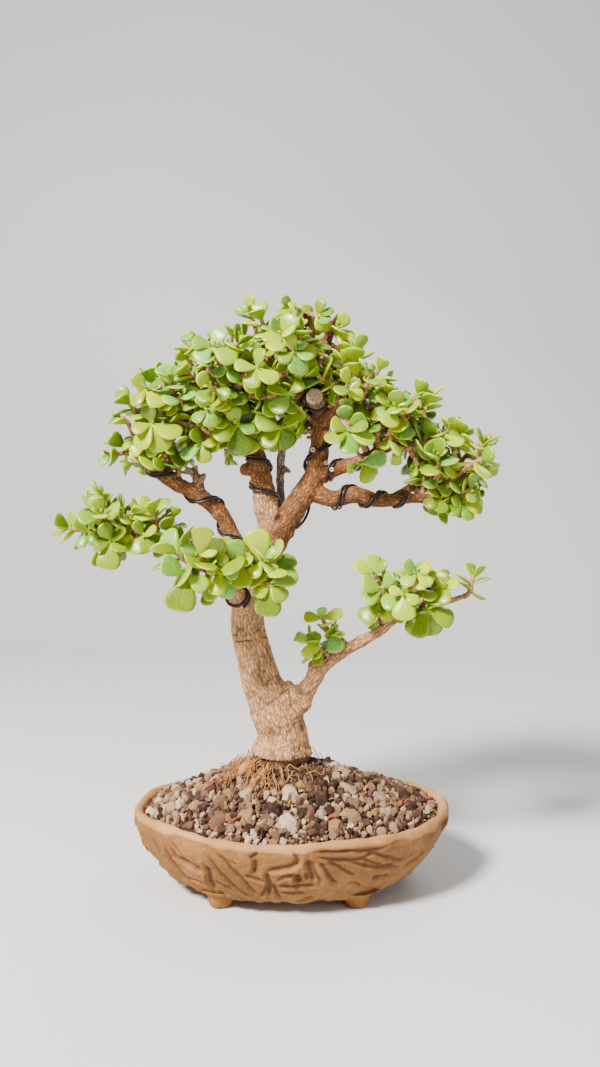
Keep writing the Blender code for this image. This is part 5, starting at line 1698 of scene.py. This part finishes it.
# strokes of the front: width, then x and height in millimetres at each point; the solids' ones first
frontStrokes = (
    (1.4, (-76, 30), (-72, 25)), (1.5, (-61, 31), (-59, 25), (-55, 18), (-50, 12), (-44, 9)),
    (1.8, (-59, 32), (-56, 27), (-51, 25), (-45, 23), (-41, 22)),
    (1.9, (-40, 26), (-38, 21), (-38, 17), (-36, 11)),
    (1.2, (-39, 33), (-36, 28), (-31, 21), (-26, 15), (-21, 11), (-17, 9)),
    (1.2, (-36, 35), (-31, 32), (-26, 26), (-21, 20), (-17, 14), (-13, 11)),
    (1.4, (-16, 34), (-15, 30), (-16, 27), (-17, 25)), (1.9, (-11, 27), (-6, 28), (2, 30), (5, 34)),
    (1.8, (-10, 27), (-10, 23), (-9, 19), (-10, 11)), (1.4, (-6, 18), (4, 18), (13, 18)),
    (1.9, (9, 33), (10, 28), (12, 20)), (1.2, (14, 32), (18, 26), (21, 20), (24, 17)),
    (1.2, (18, 32), (23, 28), (28, 24), (33, 21)), (1.2, (28, 30), (34, 28), (42, 25), (54, 24)),
    (1.1, (40, 19), (50, 17)), (0.9, (-58, 33), (-52, 28)), (0.8, (-37, 18), (-32, 15), (-26, 12)),
    (0.8, (-35, 11), (-31, 8)), (1, (-14, 37), (-18, 34)), (1.1, (-21, 24), (-15, 22), (-11, 21)),
    (1.3, (-14, 10), (-12, 13), (-10, 19)), (1.5, (-8, 20), (-6, 15), (-4, 8)),
    (1.1, (-6, 21), (-2, 24), (4, 25)), (0.9, (-5, 14), (8, 14)), (1.1, (2, 38), (4, 35), (5, 31)),
    (1.4, (10, 38), (12, 37), (19, 36), (27, 36), (34, 35), (43, 35), (47, 36)),
    (1.1, (9, 36), (14, 34), (21, 32), (28, 31), (34, 31), (40, 33), (47, 30), (55, 28)),
    (1.1, (11, 32), (13, 25), (16, 19)), (1.1, (35, 31), (40, 28), (45, 26)), (2.5, (4, 25), (5, 19)),
    (1.6, (8, 26), (9, 21)), (1, (3, 8), (8, 9), (12, 11)), (0.8, (47, 25), (50, 23), (55, 22)),
    (0.8, (49, 28), (56, 26)), (0.8, (28, 17), (32, 17), (35, 14)), (0.9, (57, 20), (64, 23), (70, 26)),
    (0.8, (-68, 31), (-64, 24)), (0.9, (-52, 14), (-45, 15), (-40, 13)), (0.7, (-30, 31), (-24, 30)),
)


def waves(table, angle):
    return sum(size * sin(count * angle + phase) for size, count, phase in table)


def grain(k, ring):
    # a repeatable draw from -1 to 1, as in the solids
    value = sin(k * 12.9898 + ring * 78.233) * 43758.5453
    return 2.0 * (value - math.floor(value)) - 1.0


def potPoint(share, height, angle):
    # a point of the wobbling oval, as in the solids
    grown = min(1.0, max(0.0, (height - pot["floorTop"]) / (pot["rimHeight"] - pot["floorTop"])))
    size = share + waves(pot["wobbleOut"], angle) * grown
    return Vector((pot["half"][0] * size * cos(angle), pot["half"][1] * size * sin(angle),
                   height + waves(pot["wobbleUp"], angle) * grown))


def shareAt(height):
    shares, heights = zip(*pot["outer"])
    return float(np.interp(height, heights, shares))


def profileLine(points, step):
    # a smooth line through (share, height) points, evenly stepped
    scale = pot["half"][0]
    route = smoothRoute([Vector((share * scale, 0.0, height, 0.0)) for share, height in points], step)
    return [(point.x / scale, point.z) for point in route]


def wallGrid(line):
    angles = ringAngles(pot["around"])
    return np.array([[potPoint(share, height, angle) for angle in angles] for share, height in line])


def strokeOnWall(places):
    # a smooth line on the wall through (angle, height) places
    scale = pot["half"][0]
    route = smoothRoute([Vector((angle * scale, height, 0.0, 0.0)) for angle, height in places], 0.0018)
    return np.array([potPoint(shareAt(point.y), point.y, point.x / scale) for point in route])


def onWall(height):
    lowest, highest = pot["strokeHeights"]
    return min(highest, max(lowest, height))


def makeStrokes():
    found = []
    for width, *points in frontStrokes:
        places = []
        for x, height in points:
            ratio = x * 0.001 / (pot["half"][0] * shareAt(height * 0.001))
            places.append((-math.acos(ratio), height * 0.001))
        found.append((width, strokeOnWall(places)))
    span, before = pot["backAngles"]
    lowest, higher = pot["backLow"]
    rise, share = pot["backHigh"]
    for k in range(pot["backStrokes"]):
        angle = math.radians(span * (k + 0.5) / pot["backStrokes"] - before)
        slant = math.radians(pot["backSlant"]) * (1 if k % 2 else -1)
        low = lowest + higher * max(0.0, grain(k, 1))
        high = low + rise * (1.0 + share * grain(k, 2))
        found.append((pot["backWidth"], strokeOnWall([(angle - slant, low), (angle + slant, high)])))
    draw = random.Random(pot["seed"])
    span, before = pot["moreAngles"]
    for number in range(pot["moreStrokes"]):
        angle = math.radians(-before + span * (number + draw.uniform(-0.4, 0.4)) / (pot["moreStrokes"] - 1))
        low = draw.uniform(*pot["moreLow"])
        high = onWall(low + draw.uniform(*pot["moreHigh"]))
        reach = draw.uniform(*pot["moreReach"]) * draw.choice((-1, 1))
        middle = onWall((low + high) / 2 + draw.uniform(*pot["moreCurl"]))
        places = [(angle, low), (angle + reach / 2, middle), (angle + reach, high)]
        found.append((draw.uniform(*pot["moreWidth"]), strokeOnWall(places)))
    return found


def strokeDistance(points, normals, line):
    # from each point to a line: how far, how far along it, and on which of its sides
    best = np.full(len(points), 1.0)
    share = np.zeros(len(points))
    side = np.zeros(len(points))
    for k, (a, b) in enumerate(zip(line, line[1:])):
        way = b - a
        t = np.clip((points - a) @ way / (way @ way), 0.0, 1.0)
        offset = points - a - t[:, None] * way
        away = np.linalg.norm(offset, axis=1)
        closer = away < best
        best = np.where(closer, away, best)
        share = np.where(closer, (k + t) / (len(line) - 1), share)
        side = np.where(closer, np.einsum("ij,ij->i", np.cross(normals, way), offset), side)
    return best, share, side


def carve(points, normals):
    # each stroke is a knife's cut: steep on one side, with a pushed-up edge, and sloping on the other
    deep = np.zeros(len(points))
    raised = np.zeros(len(points))
    stain = np.zeros(len(points))
    wander = noiseAt(points, 0.0035) * 0.0003
    for width, line in makeStrokes():
        low = line.min(axis=0) - pot["strokeReach"]
        high = line.max(axis=0) + pot["strokeReach"]
        inside = np.flatnonzero(np.all((points > low) & (points < high), axis=1))
        away, share, side = strokeDistance(points[inside], normals[inside], line)
        taper = np.clip(np.minimum(share, 1 - share) * 4.5 + 0.25, 0, 1)
        wide = pot["strokeWide"] * (0.45 + 0.55 * width)
        reach = np.maximum(away + wander[inside], 0.0) / wide
        depth = pot["strokeDeep"] * (0.3 + 0.7 * width) * taper
        steep = np.exp(-reach ** 2 * 1.3)
        slope = np.exp(-reach / 2.9) * 0.66
        deep[inside] = np.maximum(deep[inside], depth * np.where(side > 0, np.maximum(steep, slope), steep))
        edge = np.exp(-((reach - 1.55) / 0.55) ** 2) * np.where(side > 0, 0.1, 0.42)
        raised[inside] = np.maximum(raised[inside], depth * edge)
        stain[inside] = np.maximum(stain[inside], steep * taper * min(1.0, 0.4 + 0.6 * width))
    return raised * (1.0 - stain) - deep, stain


def makePot():
    outerLine = profileLine(pot["outer"], 0.00082)
    innerLine = profileLine(pot["inner"], 0.002)[1:]
    grid = np.concatenate((wallGrid(outerLine), wallGrid(innerLine)))
    rows, around = grid.shape[:2]
    points = grid.reshape(-1, 3)
    normals = np.cross(np.roll(grid, -1, axis=1) - np.roll(grid, 1, axis=1), np.gradient(grid, axis=0))
    normals = normals.reshape(-1, 3)
    normals /= np.linalg.norm(normals, axis=1)[:, None]
    isOuter = np.arange(len(points)) < len(outerLine) * around
    out, carved = carve(points, normals)
    rimWave = np.array([waves(pot["wobbleUp"], angle) for angle in ringAngles(around)])
    height = points[:, 2] - np.tile(rimWave, rows)
    aboveBand = height - pot["band"] + noiseAt(points, 0.012) * 0.0022
    onBand = np.where(isOuter, smoothStep(-pot["bandSoft"], pot["bandSoft"], aboveBand), 1.0)
    keep = isOuter * (1.0 - 0.8 * onBand)
    out *= keep
    carved *= keep
    body = smoothStep(0.005, 0.0085, points[:, 2])
    rim = smoothStep(0.035, 0.0385, height)
    out += onBand * pot["lip"] * isOuter
    for size, deep in pot["hollows"]:
        out += noiseAt(points, size) * deep * body
    ragged = sum(noiseAt(points, size) * high for size, high in pot["ragged"])
    under = smoothStep(0.0125, 0.0068, points[:, 2]) * smoothStep(0.0046, 0.0056, points[:, 2])
    out += ragged * under * isOuter
    out[:around] = 0.0
    moved = points + normals * out[:, None]
    moved[:, 2] += noiseAt(points, 0.0085) * 0.0006 * rim
    moved[-around:, 2] = pot["floorTop"]
    moved[:around, 2] = pot["outer"][0][1]
    made = addMesh("stoneware_bowl", moved, bandFaces(rows, around), {"carved": carved, "rimBand": onBand})
    closeFloor(made, rows, around)
    return made


def closeFloor(made, rows, around):
    # the flat floor with its two drain holes, and the four feet under it
    work = bmesh.new()
    work.from_mesh(made.data)
    work.verts.ensure_lookup_table()
    loops = []
    lowest = [work.verts[k] for k in range(around)]
    innermost = [work.verts[(rows - 1) * around + k] for k in range(around)]
    for edge, height in ((lowest, pot["outer"][0][1]), (innermost, pot["floorTop"])):
        rings = []
        for sign in (-1, 1):
            ring = []
            for angle in ringAngles(pot["sides"]):
                x = sign * pot["drainAt"] + pot["drainRadius"] * cos(angle)
                y = pot["drainRadius"] * sin(angle)
                ring.append(work.verts.new(Vector((x, y, height)) + potMiddle))
            rings.append(ring)
        edges = []
        for loop in (edge, *rings):
            for a, b in zip(loop, loop[1:] + loop[:1]):
                edges.append(work.edges.get((a, b)) or work.edges.new((a, b)))
        bmesh.ops.triangle_fill(work, use_beauty=True, use_dissolve=False, edges=edges)
        loops.append(rings)
    for lower, upper in zip(*loops):
        for k in range(pot["sides"]):
            after = (k + 1) % pot["sides"]
            work.faces.new((lower[after], lower[k], upper[k], upper[after]))
    bmesh.ops.recalc_face_normals(work, faces=work.faces)
    for signX in (-1, 1):
        for signY in (-1, 1):
            addFoot(work, Vector((signX * pot["feet"][0], signY * pot["feet"][1], 0.0)))
    work.to_mesh(made.data)
    work.free()
    smooth(made.data)


def addFoot(work, middle):
    route = smoothRoute([Vector((0.0, 0.0, height, radius)) for height, radius in pot["footRoute"]], 0.0006)
    verts = []
    for point in route:
        lift = Vector((0.0, 0.0, point.z))
        for angle in ringAngles(pot["sides"]):
            way = Vector((cos(angle), sin(angle), 0.0))
            place = middle + way * point.w + lift
            rough = 1.0 + 0.16 * noise.noise(place * 120) + 0.06 * noise.noise(place * 420)
            verts.append(work.verts.new(middle + way * point.w * rough + lift + potMiddle))
    for face in closedFaces(len(route), pot["sides"]):
        work.faces.new([verts[k] for k in face])


def makeClay():
    clay = Finish("stonewareFinish", Specular_IOR_Level=0.3)
    place = clay.place()
    carved = clay.own("carved")
    band = clay.own("rimBand")
    broad = clay.noise(place, 38.0, 3.0, 0.6)
    patch = clay.noise(place, 95.0, 3.0, 0.6)
    streak = clay.noise(clay.place((60.0, 60.0, 210.0)), 1.0, 3.0, 0.6)
    fine = clay.noise(place, 900.0, 4.0, 0.65)
    grog = clay.cells(place, 620.0)
    body = clay.ramp(broad, (0.28, 100, 62, 24), (0.5, 128, 84, 36), (0.72, 156, 108, 54))
    body = clay.mix(clay.rise(streak, 0.5, 0.72) * 0.55, body, tone(104, 64, 30))
    pale = clay.ramp(broad, (0.28, 156, 106, 56), (0.5, 182, 130, 76), (0.72, 200, 150, 98))
    pale = clay.mix(clay.rise(patch, 0.5, 0.7) * 0.55, pale, tone(190, 130, 98))
    wash = clay.rise(patch, 0.52, 0.74) * clay.rise(band, 0.9, 0.3)
    stained = clay.rise(carved + (clay.noise(place, 240.0, 3.0) - 0.5) * 0.55, 0.28, 0.8)
    iron = clay.rise(clay.cells(place, 520.0), 0.24, 0.08)
    iron = iron * clay.rise(clay.noise(place, 170.0, 2.0), 0.45, 0.65)
    colour = clay.layers(
        body, (clay.rise(band + (patch - 0.5) * 1.1, 0.1, 0.9) * 0.85, pale),
        (clay.rise(fine, 0.38, 0.75) * 0.3, tone(184, 138, 82)), (iron * 0.8, tone(84, 48, 26)),
        (wash * 0.5, tone(98, 58, 36)), (stained * 0.68, tone(76, 44, 32)))
    clay.set(Base_Color=colour, Roughness=fine * 0.2 + 0.66)
    low = clay.bump(fine, 0.55, 0.0005)
    clay.set(Normal=clay.bump(clay.rise(grog, 0.0, 0.6), 0.25, 0.0005, low))
    return clay.material


bowl = makePot()
bowl.data.materials.append(makeClay())
finishPiece(bowl, "stoneware", "pot")
print("pot:", len(bowl.data.polygons), "faces")


# Grit: a bed, the solids' large stones, and two sizes of angular stones round them

soil = {
    "around": 220,
    "rings": 62,
    "edge": 0.0395,
    "peak": 0.0632,
    "fall": 0.85,
    "sunk": 0.0012,             # how far the dark bed lies below the solid's mound
    "outermost": 1.035,         # share of the way from the hole to the rim
    "innermost": -0.1,
    "middle": (-0.0045, 0.0),
    "hole": 0.0156 * 1.14 + 0.0006,     # as in the solids: the buried foot's radius, its margin and two gaps
    "bottom": 0.0125,           # over the drain screens
    "core": 0.06,               # height of the bed inside the trunk's foot
    "relief": 0.001,
    "reliefSize": 0.0045,
    "wall": ((0.7, 0.0125), (0.78, 0.0155), (0.86, 0.0235)),
    "inset": 0.0005 / 0.066,    # share of the pot's half depth that the mound stays off the wall
    "stones": 48,
    "stoneShares": (0.19, 0.86),
    "stoneRadius": 0.0047,
    "stoneSpread": 0.2,
    "stoneHeight": 0.0024,
    "stoneTilt": 0.0009,
    "stoneSunk": 0.0024,
    "stoneCap": 0.68,
    "stoneSeed": 11,
    "crumbsAt": Vector((0.0065, -0.006, 0.0)),
    "crumbsReach": 0.0265,
    "crumbs": 0.16,             # share near the trunk where only crumbs lie
}


def soilPoint(angle, share):
    # on the mound of the solid: share 0 at the trunk's hole and 1 at the rim
    size = 0.915 - 2 * soil["inset"] + waves(pot["wobbleOut"], angle)
    outer = Vector((pot["half"][0] * cos(angle), pot["half"][1] * sin(angle))) * size
    inner = Vector(soil["middle"]) + Vector((cos(angle), sin(angle))) * soil["hole"]
    height = soil["edge"] + (soil["peak"] - soil["edge"]) * (1.0 - max(share, 0.0) ** soil["fall"])
    return Vector((*inner.lerp(outer, share), height + waves(pot["wobbleUp"], angle) * share))


def bedPoint(angle, share):
    place = soilPoint(angle, share)
    bump = noise.noise(Vector((place.x, place.y, 0.0)) / soil["reliefSize"]) * soil["relief"]
    return place + Vector((0.0, 0.0, bump - soil["sunk"]))


def makeBed():
    angles = ringAngles(soil["around"])
    rings = [[potPoint(share - 2 * soil["inset"], height, angle) for angle in angles]
             for share, height in soil["wall"]]
    rings += [[bedPoint(angle, share) for angle in angles] for share in bedShares]
    for point in rings[0]:
        point.z = soil["bottom"]
    rings.append([Vector((*point.xy, soil["core"])) for point in rings[-1]])
    return addMesh("grit_bed", [point for ring in rings for point in ring],
                   closedFaces(len(rings), soil["around"]))


def largeStone(number):
    # corners of one of the solids' stones, and its middle and radius
    part = (number + 0.5) / soil["stones"]
    near, far = soil["stoneShares"]
    share = near + (far - near) * (0.35 * part + 0.65 * math.sqrt(part))
    angle = goldenAngle * number
    middle = soilPoint(angle, share)
    around = (middle.xy - Vector(soil["middle"])).length
    across = (soilPoint(angle, 1.0).xy - soilPoint(angle, 0.0).xy).length
    radius = soil["stoneRadius"] * (1.0 + soil["stoneSpread"] * grain(number, 3))
    height = soil["stoneHeight"] + soil["stoneTilt"] * grain(number, 4)
    corners = []
    for k in range(5):
        turn = 2 * pi * (k + 0.3 * grain(number, 5 + k)) / 5 + number
        corner = radius * (1.0 + soil["stoneSpread"] * grain(number, 15 + k))
        tilt = soil["stoneTilt"] * cos(turn + 2 * number)
        for size, lift in ((1.0, -soil["stoneSunk"]), (soil["stoneCap"], height + tilt)):
            corners.append(soilPoint(angle + corner * size * cos(turn) / around,
                                     share + corner * size * sin(turn) / across) + up * lift)
    return corners, middle, radius


def makeLargeStones():
    # the solids' stones with chipped edges and pitted faces
    draw = random.Random(soil["stoneSeed"] + 2)
    parts = []
    tones = []
    for number in range(soil["stones"]):
        corners, _, radius = largeStone(number)
        work = bmesh.new()
        for corner in corners:
            work.verts.new(corner)
        bmesh.ops.convex_hull(work, input=work.verts)
        bmesh.ops.bevel(work, geom=work.edges, offset=radius * 0.16, segments=2, profile=0.6, affect="EDGES")
        bmesh.ops.triangulate(work, faces=work.faces)
        bmesh.ops.subdivide_edges(work, edges=work.edges, cuts=1, use_grid_fill=True)
        bmesh.ops.recalc_face_normals(work, faces=work.faces)
        work.normal_update()
        for vert in work.verts:
            rough = noise.noise(vert.co * 420) * 0.00055 + noise.noise(vert.co * 1100) * 0.00025
            vert.co += vert.normal * rough
        work.verts.index_update()
        # sorted, because their order would change from run to run
        faces = sorted(tuple(vert.index for vert in face.verts) for face in work.faces)
        parts.append(([vert.co.copy() for vert in work.verts], faces))
        tones += [draw.random()] * len(work.verts)
        work.free()
    made = addMesh("large_stones", *joinParts(parts), {"stoneTone": tones})
    made.data.materials.append(gritFinish)
    return made


def makeGritFinish():
    grit = Finish("gritFinish", Roughness=0.93, Specular_IOR_Level=0.22)
    place = grit.place()
    stone = grit.own("stoneTone")
    fine = grit.noise(place, 1500.0, 4.0, 0.7)
    broad = grit.noise(place, 300.0, 2.0)
    colour = grit.ramp(stone, (0.0, 140, 108, 84), (0.15, 184, 150, 122),
                       (0.29, 74, 50, 40), (0.4, 158, 122, 90), (0.51, 50, 32, 26),
                       (0.62, 202, 170, 140), (0.72, 118, 84, 62), (0.81, 214, 188, 160),
                       (0.88, 88, 60, 50), (0.965, 166, 100, 62), (0.985, 180, 138, 74),
                       steps="CONSTANT")
    crumbs = grit.rise(grit.node("ShaderNodeVectorMath", {"operation": "DISTANCE"},
                                 {0: grit.stretched(place, (1.0, 1.0, 0.0)), 1: soil["crumbsAt"]}, 1),
                       soil["crumbsReach"], soil["crumbsReach"] * 0.7)
    crumb = grit.ramp(stone, (0.0, 44, 28, 20), (0.5, 92, 62, 40), (0.8, 60, 40, 28), (1.0, 132, 96, 64))
    colour = grit.mix(crumbs * 0.85, colour, crumb)
    pits = grit.rise(grit.cells(place, 1100.0), 0.26, 0.1)
    across = grit.node("ShaderNodeSeparateXYZ", None, {0: place})
    grit.set(Base_Color=grit.layers(
        colour, (grit.rise(fine, 0.62, 0.34) * 0.6, grit.mix(0.55, colour, tone(52, 36, 28))),
        (grit.rise(fine, 0.58, 0.8) * 0.4, tone(206, 186, 160)), (pits * 0.6, tone(56, 42, 34)),
        (grit.rise(broad, 0.45, 0.75) * 0.3, tone(128, 92, 60)),
        # painted shade: the grit darker towards the right side, from x of 15 mm to 60 mm
        (grit.rise(across, 0.015, 0.06) * 0.26, tone(70, 46, 32))))
    low = grit.bump(fine, 0.8, 0.0005)
    grit.set(Normal=grit.bump(pits * -1.0, 0.7, 0.0005, low))
    return grit.material


def makeBedFinish():
    bed = Finish("gritBedFinish", Roughness=0.96, Specular_IOR_Level=0.2)
    place = bed.place()
    fine = bed.noise(place, 1800.0, 4.0, 0.7)
    dark = bed.mix(fine, tone(34, 24, 18), tone(88, 66, 50))
    colour = bed.mix(bed.rise(bed.noise(place, 420.0, 3.0), 0.5, 0.7) * 0.6, dark, tone(112, 88, 66))
    bed.set(Base_Color=colour)
    low = bed.bump(bed.cells(place, 760.0), 0.9, 0.0008)
    bed.set(Normal=bed.bump(fine, 0.7, 0.0004, low))
    return bed.material


def makeStones(prefix, count, corners, seed):
    draw = random.Random(seed)
    shapes = []
    for number in range(count):
        work = bmesh.new()
        squash = Vector((draw.uniform(0.75, 1.1), draw.uniform(0.6, 0.95), draw.uniform(0.42, 0.85)))
        for _ in range(corners):
            way = Vector([draw.gauss(0, 1) for _ in range(3)]).normalized() * draw.uniform(0.43, 0.54)
            work.verts.new([a * b for a, b in zip(way, squash)])
        hull = bmesh.ops.convex_hull(work, input=work.verts)
        loose = [item for item in hull["geom_interior"] if isinstance(item, bmesh.types.BMVert)]
        bmesh.ops.delete(work, geom=loose, context="VERTS")
        bmesh.ops.recalc_face_normals(work, faces=work.faces)
        mesh = bpy.data.meshes.new("{}{}".format(prefix, number))
        work.to_mesh(mesh)
        work.free()
        shapes.append(addObject(mesh.name, mesh))
    return shapeCollection(prefix, shapes)


def scatter(name, zone, shapes, **sizes):
    # stones over the bed, where zone lets them lie
    made = addObject(name, bed.data.copy())
    storeValues(made.data, "grainZone", zone)
    runTree(made, *grainTree, dict(sizes, Shapes=shapes, Kinds=len(shapes.objects), Material=gritFinish))
    if "grainZone" in made.data.attributes:
        made.data.attributes.remove(made.data.attributes["grainZone"])
    return made


grainTree = makeGrainTree()
gritFinish = makeGritFinish()
bedShares = np.linspace(soil["outermost"], soil["innermost"], soil["rings"])
bed = makeBed()
bedPoints = pointsOf(bed.data)
bedSkin = skinOf(bed.data)
firstTop = len(soil["wall"]) * soil["around"]
lastTop = firstTop + soil["rings"] * soil["around"]
ringShare = np.full(len(bedPoints), 9.0)
ringShare[firstTop:lastTop] = np.repeat(bedShares, soil["around"])
ringShare += noiseAt(bedPoints, 0.01) * 0.05
largeStones = makeLargeStones()
free = np.ones(len(bedPoints))
for number in range(soil["stones"]):
    _, stoneMiddle, stoneRadius = largeStone(number)
    free *= np.linalg.norm(bedPoints[:, :2] - np.array(stoneMiddle.xy), axis=1) > stoneRadius * 0.62
smallZone = free * (ringShare < 1.05)
largeZone = free * (ringShare < 1.0) * (ringShare > soil["crumbs"])
pebbles = makeStones("gritShape", 8, 12, soil["stoneSeed"])
rocks = makeStones("stoneShape", 9, 18, soil["stoneSeed"] + 1)
fineGrit = scatter("fine_grit", smallZone, pebbles, Apart=0.00205, Smallest=0.0018, Largest=0.0042,
                   Sunk=-0.0002, Seed=3)
coarseGrit = scatter("coarse_grit", largeZone, rocks, Apart=0.0037, Smallest=0.0042, Largest=0.0084,
                     Sunk=-0.0012, Seed=5)
for holder in (pebbles, rocks):
    dropCollection(holder)
bed.data.materials.append(makeBedFinish())
finishPiece(bed, "grit", "soil")
for piece in (largeStones, fineGrit, coarseGrit):
    finishPiece(piece, "grit")
    print(piece.name, len(piece.data.polygons), "faces")


# Roots: golden and thin, they creep over the stones

roots = {
    "count": 96,
    "seed": 19,
    "frontShare": 0.84,         # of the roots lie in front on the left
    "foot": (0.0156, 0.0225),   # from the middle of the trunk's hole
    "step": 0.0022,
    "sides": 6,
    # thick ones: where they start and end, lift and radius
    "thick": (((-0.0195, -0.0115), (-0.0265, -0.018), 0.0044, 0.0029),
              ((-0.011, -0.0155), (-0.019, -0.028), 0.0034, 0.0011),
              ((-0.005, -0.0165), (-0.003, -0.027), 0.003, 0.0008)),
}


def makeRootFinish():
    root = Finish("rootFinish", Roughness=0.75, Specular_IOR_Level=0.3)
    place = root.place()
    fine = root.noise(place, 1200.0, 3.0, 0.6)
    colour = root.ramp(fine, (0.3, 110, 68, 34), (0.52, 176, 122, 66), (0.75, 214, 168, 108))
    root.set(Base_Color=root.mix(root.own("rootDark"), colour, tone(104, 70, 44)))
    root.set(Normal=root.bump(fine, 0.4, 0.0003))
    return root.material


def overBed(x, y, lift):
    hit = bedSkin.ray_cast(Vector((x, y, 0.09)), Vector((0, 0, -1)))[0]
    return Vector((x, y, hit.z + lift)) if hit else None


def rootRoute(draw, angle, reach, radius):
    # creeps over the stones from the trunk's foot, and dips between them
    way = Vector((cos(angle), sin(angle), 0.0))
    foot = Vector(soil["middle"]).to_3d() + way * draw.uniform(*roots["foot"])
    start = overBed(foot.x, foot.y, 0.0006)
    line = [Vector((*start, radius * 1.3))]
    heading = angle + draw.gauss(0, 0.5)
    place = start.copy()
    steps = max(5, round(reach / roots["step"]))
    for k in range(steps):
        heading += draw.gauss(0, 0.42)
        place = place + Vector((cos(heading), sin(heading), 0.0)) * roots["step"]
        over = overBed(place.x, place.y, draw.uniform(0.0018, 0.0056) if k < steps - 2 else 0.0004)
        if not over:
            break
        line.append(Vector((*over, radius * (1.0 - 0.6 * k / steps))))
    return smoothRoute(line, 0.0009)


def makeRoots():
    draw = random.Random(roots["seed"])
    routes = []
    dark = []
    for number in range(roots["count"]):
        left = number < roots["count"] * roots["frontShare"]
        angle = math.radians(draw.gauss(-130, 24) if left else draw.uniform(-190, 150))
        reach = draw.uniform(0.006, 0.027) if left else draw.uniform(0.004, 0.009)
        radius = draw.uniform(0.00016, 0.00038) if left else draw.uniform(0.00013, 0.00024)
        routes.append(rootRoute(draw, angle, reach, radius))
        dark.append(draw.random() ** (3.0 if left else 0.8))
    for start, end, lift, radius in roots["thick"]:
        a = overBed(*start, 0.0016)
        b = overBed(*end, lift * 0.7)
        middle = overBed(*((p + q) / 2 for p, q in zip(start, end)), lift)
        routes.append(smoothRoute([Vector((*a, radius)), Vector((*middle, radius * 1.1)),
                                   Vector((*b, radius * 0.45))], 0.001))
        dark.append(0.1)
    kept = [(route, shade) for route, shade in zip(routes, dark) if len(route) > 3]
    own = {"rootDark": [shade for route, shade in kept for _ in route]}
    return addStrands("fibrous_roots", [route for route, _ in kept], roots["sides"], makeRootFinish(), own)


rootPiece = makeRoots()
finishPiece(rootPiece, "bark")
print("roots:", len(rootPiece.data.polygons), "faces")


# Drain screens: black plastic mesh, as the solids have it

def makeScreenFinish():
    screen = Finish("screenFinish", Specular_IOR_Level=0.4)
    place = screen.place()
    fine = screen.noise(place, 900.0, 3.0, 0.6)
    screen.set(Base_Color=screen.mix(fine, tone(24, 24, 26), tone(52, 52, 54)), Roughness=fine * 0.25 + 0.4)
    screen.set(Normal=screen.bump(fine, 0.2, 0.0002))
    return screen.material


screenFinish = makeScreenFinish()
for node in ("drain_screen_left", "drain_screen_right"):
    mesh = frame["nodes"][node].data
    mesh.materials.clear()
    mesh.materials.append(screenFinish)


# Studio: pale floor that curves up behind, soft light from the upper left, and the photograph's camera

studio = {
    "floor": 3.0,
    "bend": 0.6,
    "behind": 1.5,
    "key": ((-0.8, -0.95, 1.2), 92.0, 0.34),     # place, watts, size
    "fill": ((1.1, -1.0, 0.5), 5.0, 0.9),
    "back": ((0.6, 1.0, 1.1), 9.0, 0.8),
    "world": 0.36,
    "lens": 29.69,
}


def addBackdrop():
    profile = [(-studio["floor"], 0.0), (studio["behind"] - studio["bend"], 0.0)]
    for k in range(1, 13):
        angle = pi / 2 * k / 12
        profile.append((studio["behind"] - studio["bend"] + studio["bend"] * sin(angle),
                        studio["bend"] * (1 - cos(angle))))
    profile.append((studio["behind"], studio["floor"]))
    points = []
    for side in (-studio["floor"], studio["floor"]):
        points += [Vector((side, y, z - 0.0002)) for y, z in profile]
    count = len(profile)
    faces = [(k, k + count, k + count + 1, k + 1) for k in range(count - 1)]
    backdrop = addMesh("backdrop", points, faces)
    paper = Finish("backdropFinish", Roughness=0.9, Specular_IOR_Level=0.2)
    soft = paper.noise(paper.place(), 1.2, 2.0)
    paper.set(Base_Color=paper.mix(soft, (0.66, 0.655, 0.65), (0.72, 0.715, 0.71)))
    backdrop.data.materials.append(paper.material)


def addLights():
    aim = Vector((0.0, 0.0, 0.17))
    for name in ("key", "fill", "back"):
        place, watts, size = studio[name]
        light = bpy.data.lights.new(name, "AREA")
        light.energy = watts
        light.size = size
        light.color = (1.0, 0.97, 0.93) if name == "key" else (0.95, 0.97, 1.0)
        lamp = addObject(name, light)
        lamp.location = place
        lamp.rotation_euler = (aim - Vector(place)).to_track_quat("-Z", "Y").to_euler()
    world = bpy.data.worlds.new("studio")
    world.use_nodes = True
    sky = world.node_tree.nodes["Background"]
    sky.inputs["Color"].default_value = (1.0, 0.99, 0.98, 1.0)
    sky.inputs["Strength"].default_value = studio["world"]
    bpy.context.scene.world = world


def addCamera():
    data = bpy.data.cameras.new("camera")
    data.lens = studio["lens"]
    data.sensor_width = 36.0
    data.sensor_fit = "AUTO"
    data.clip_start = 0.01
    made = addObject("camera", data)
    made.location = camera["at"] + potMiddle
    made.rotation_euler = (pi / 2, 0.0, 0.0)
    bpy.context.scene.camera = made


addBackdrop()
addLights()
addCamera()
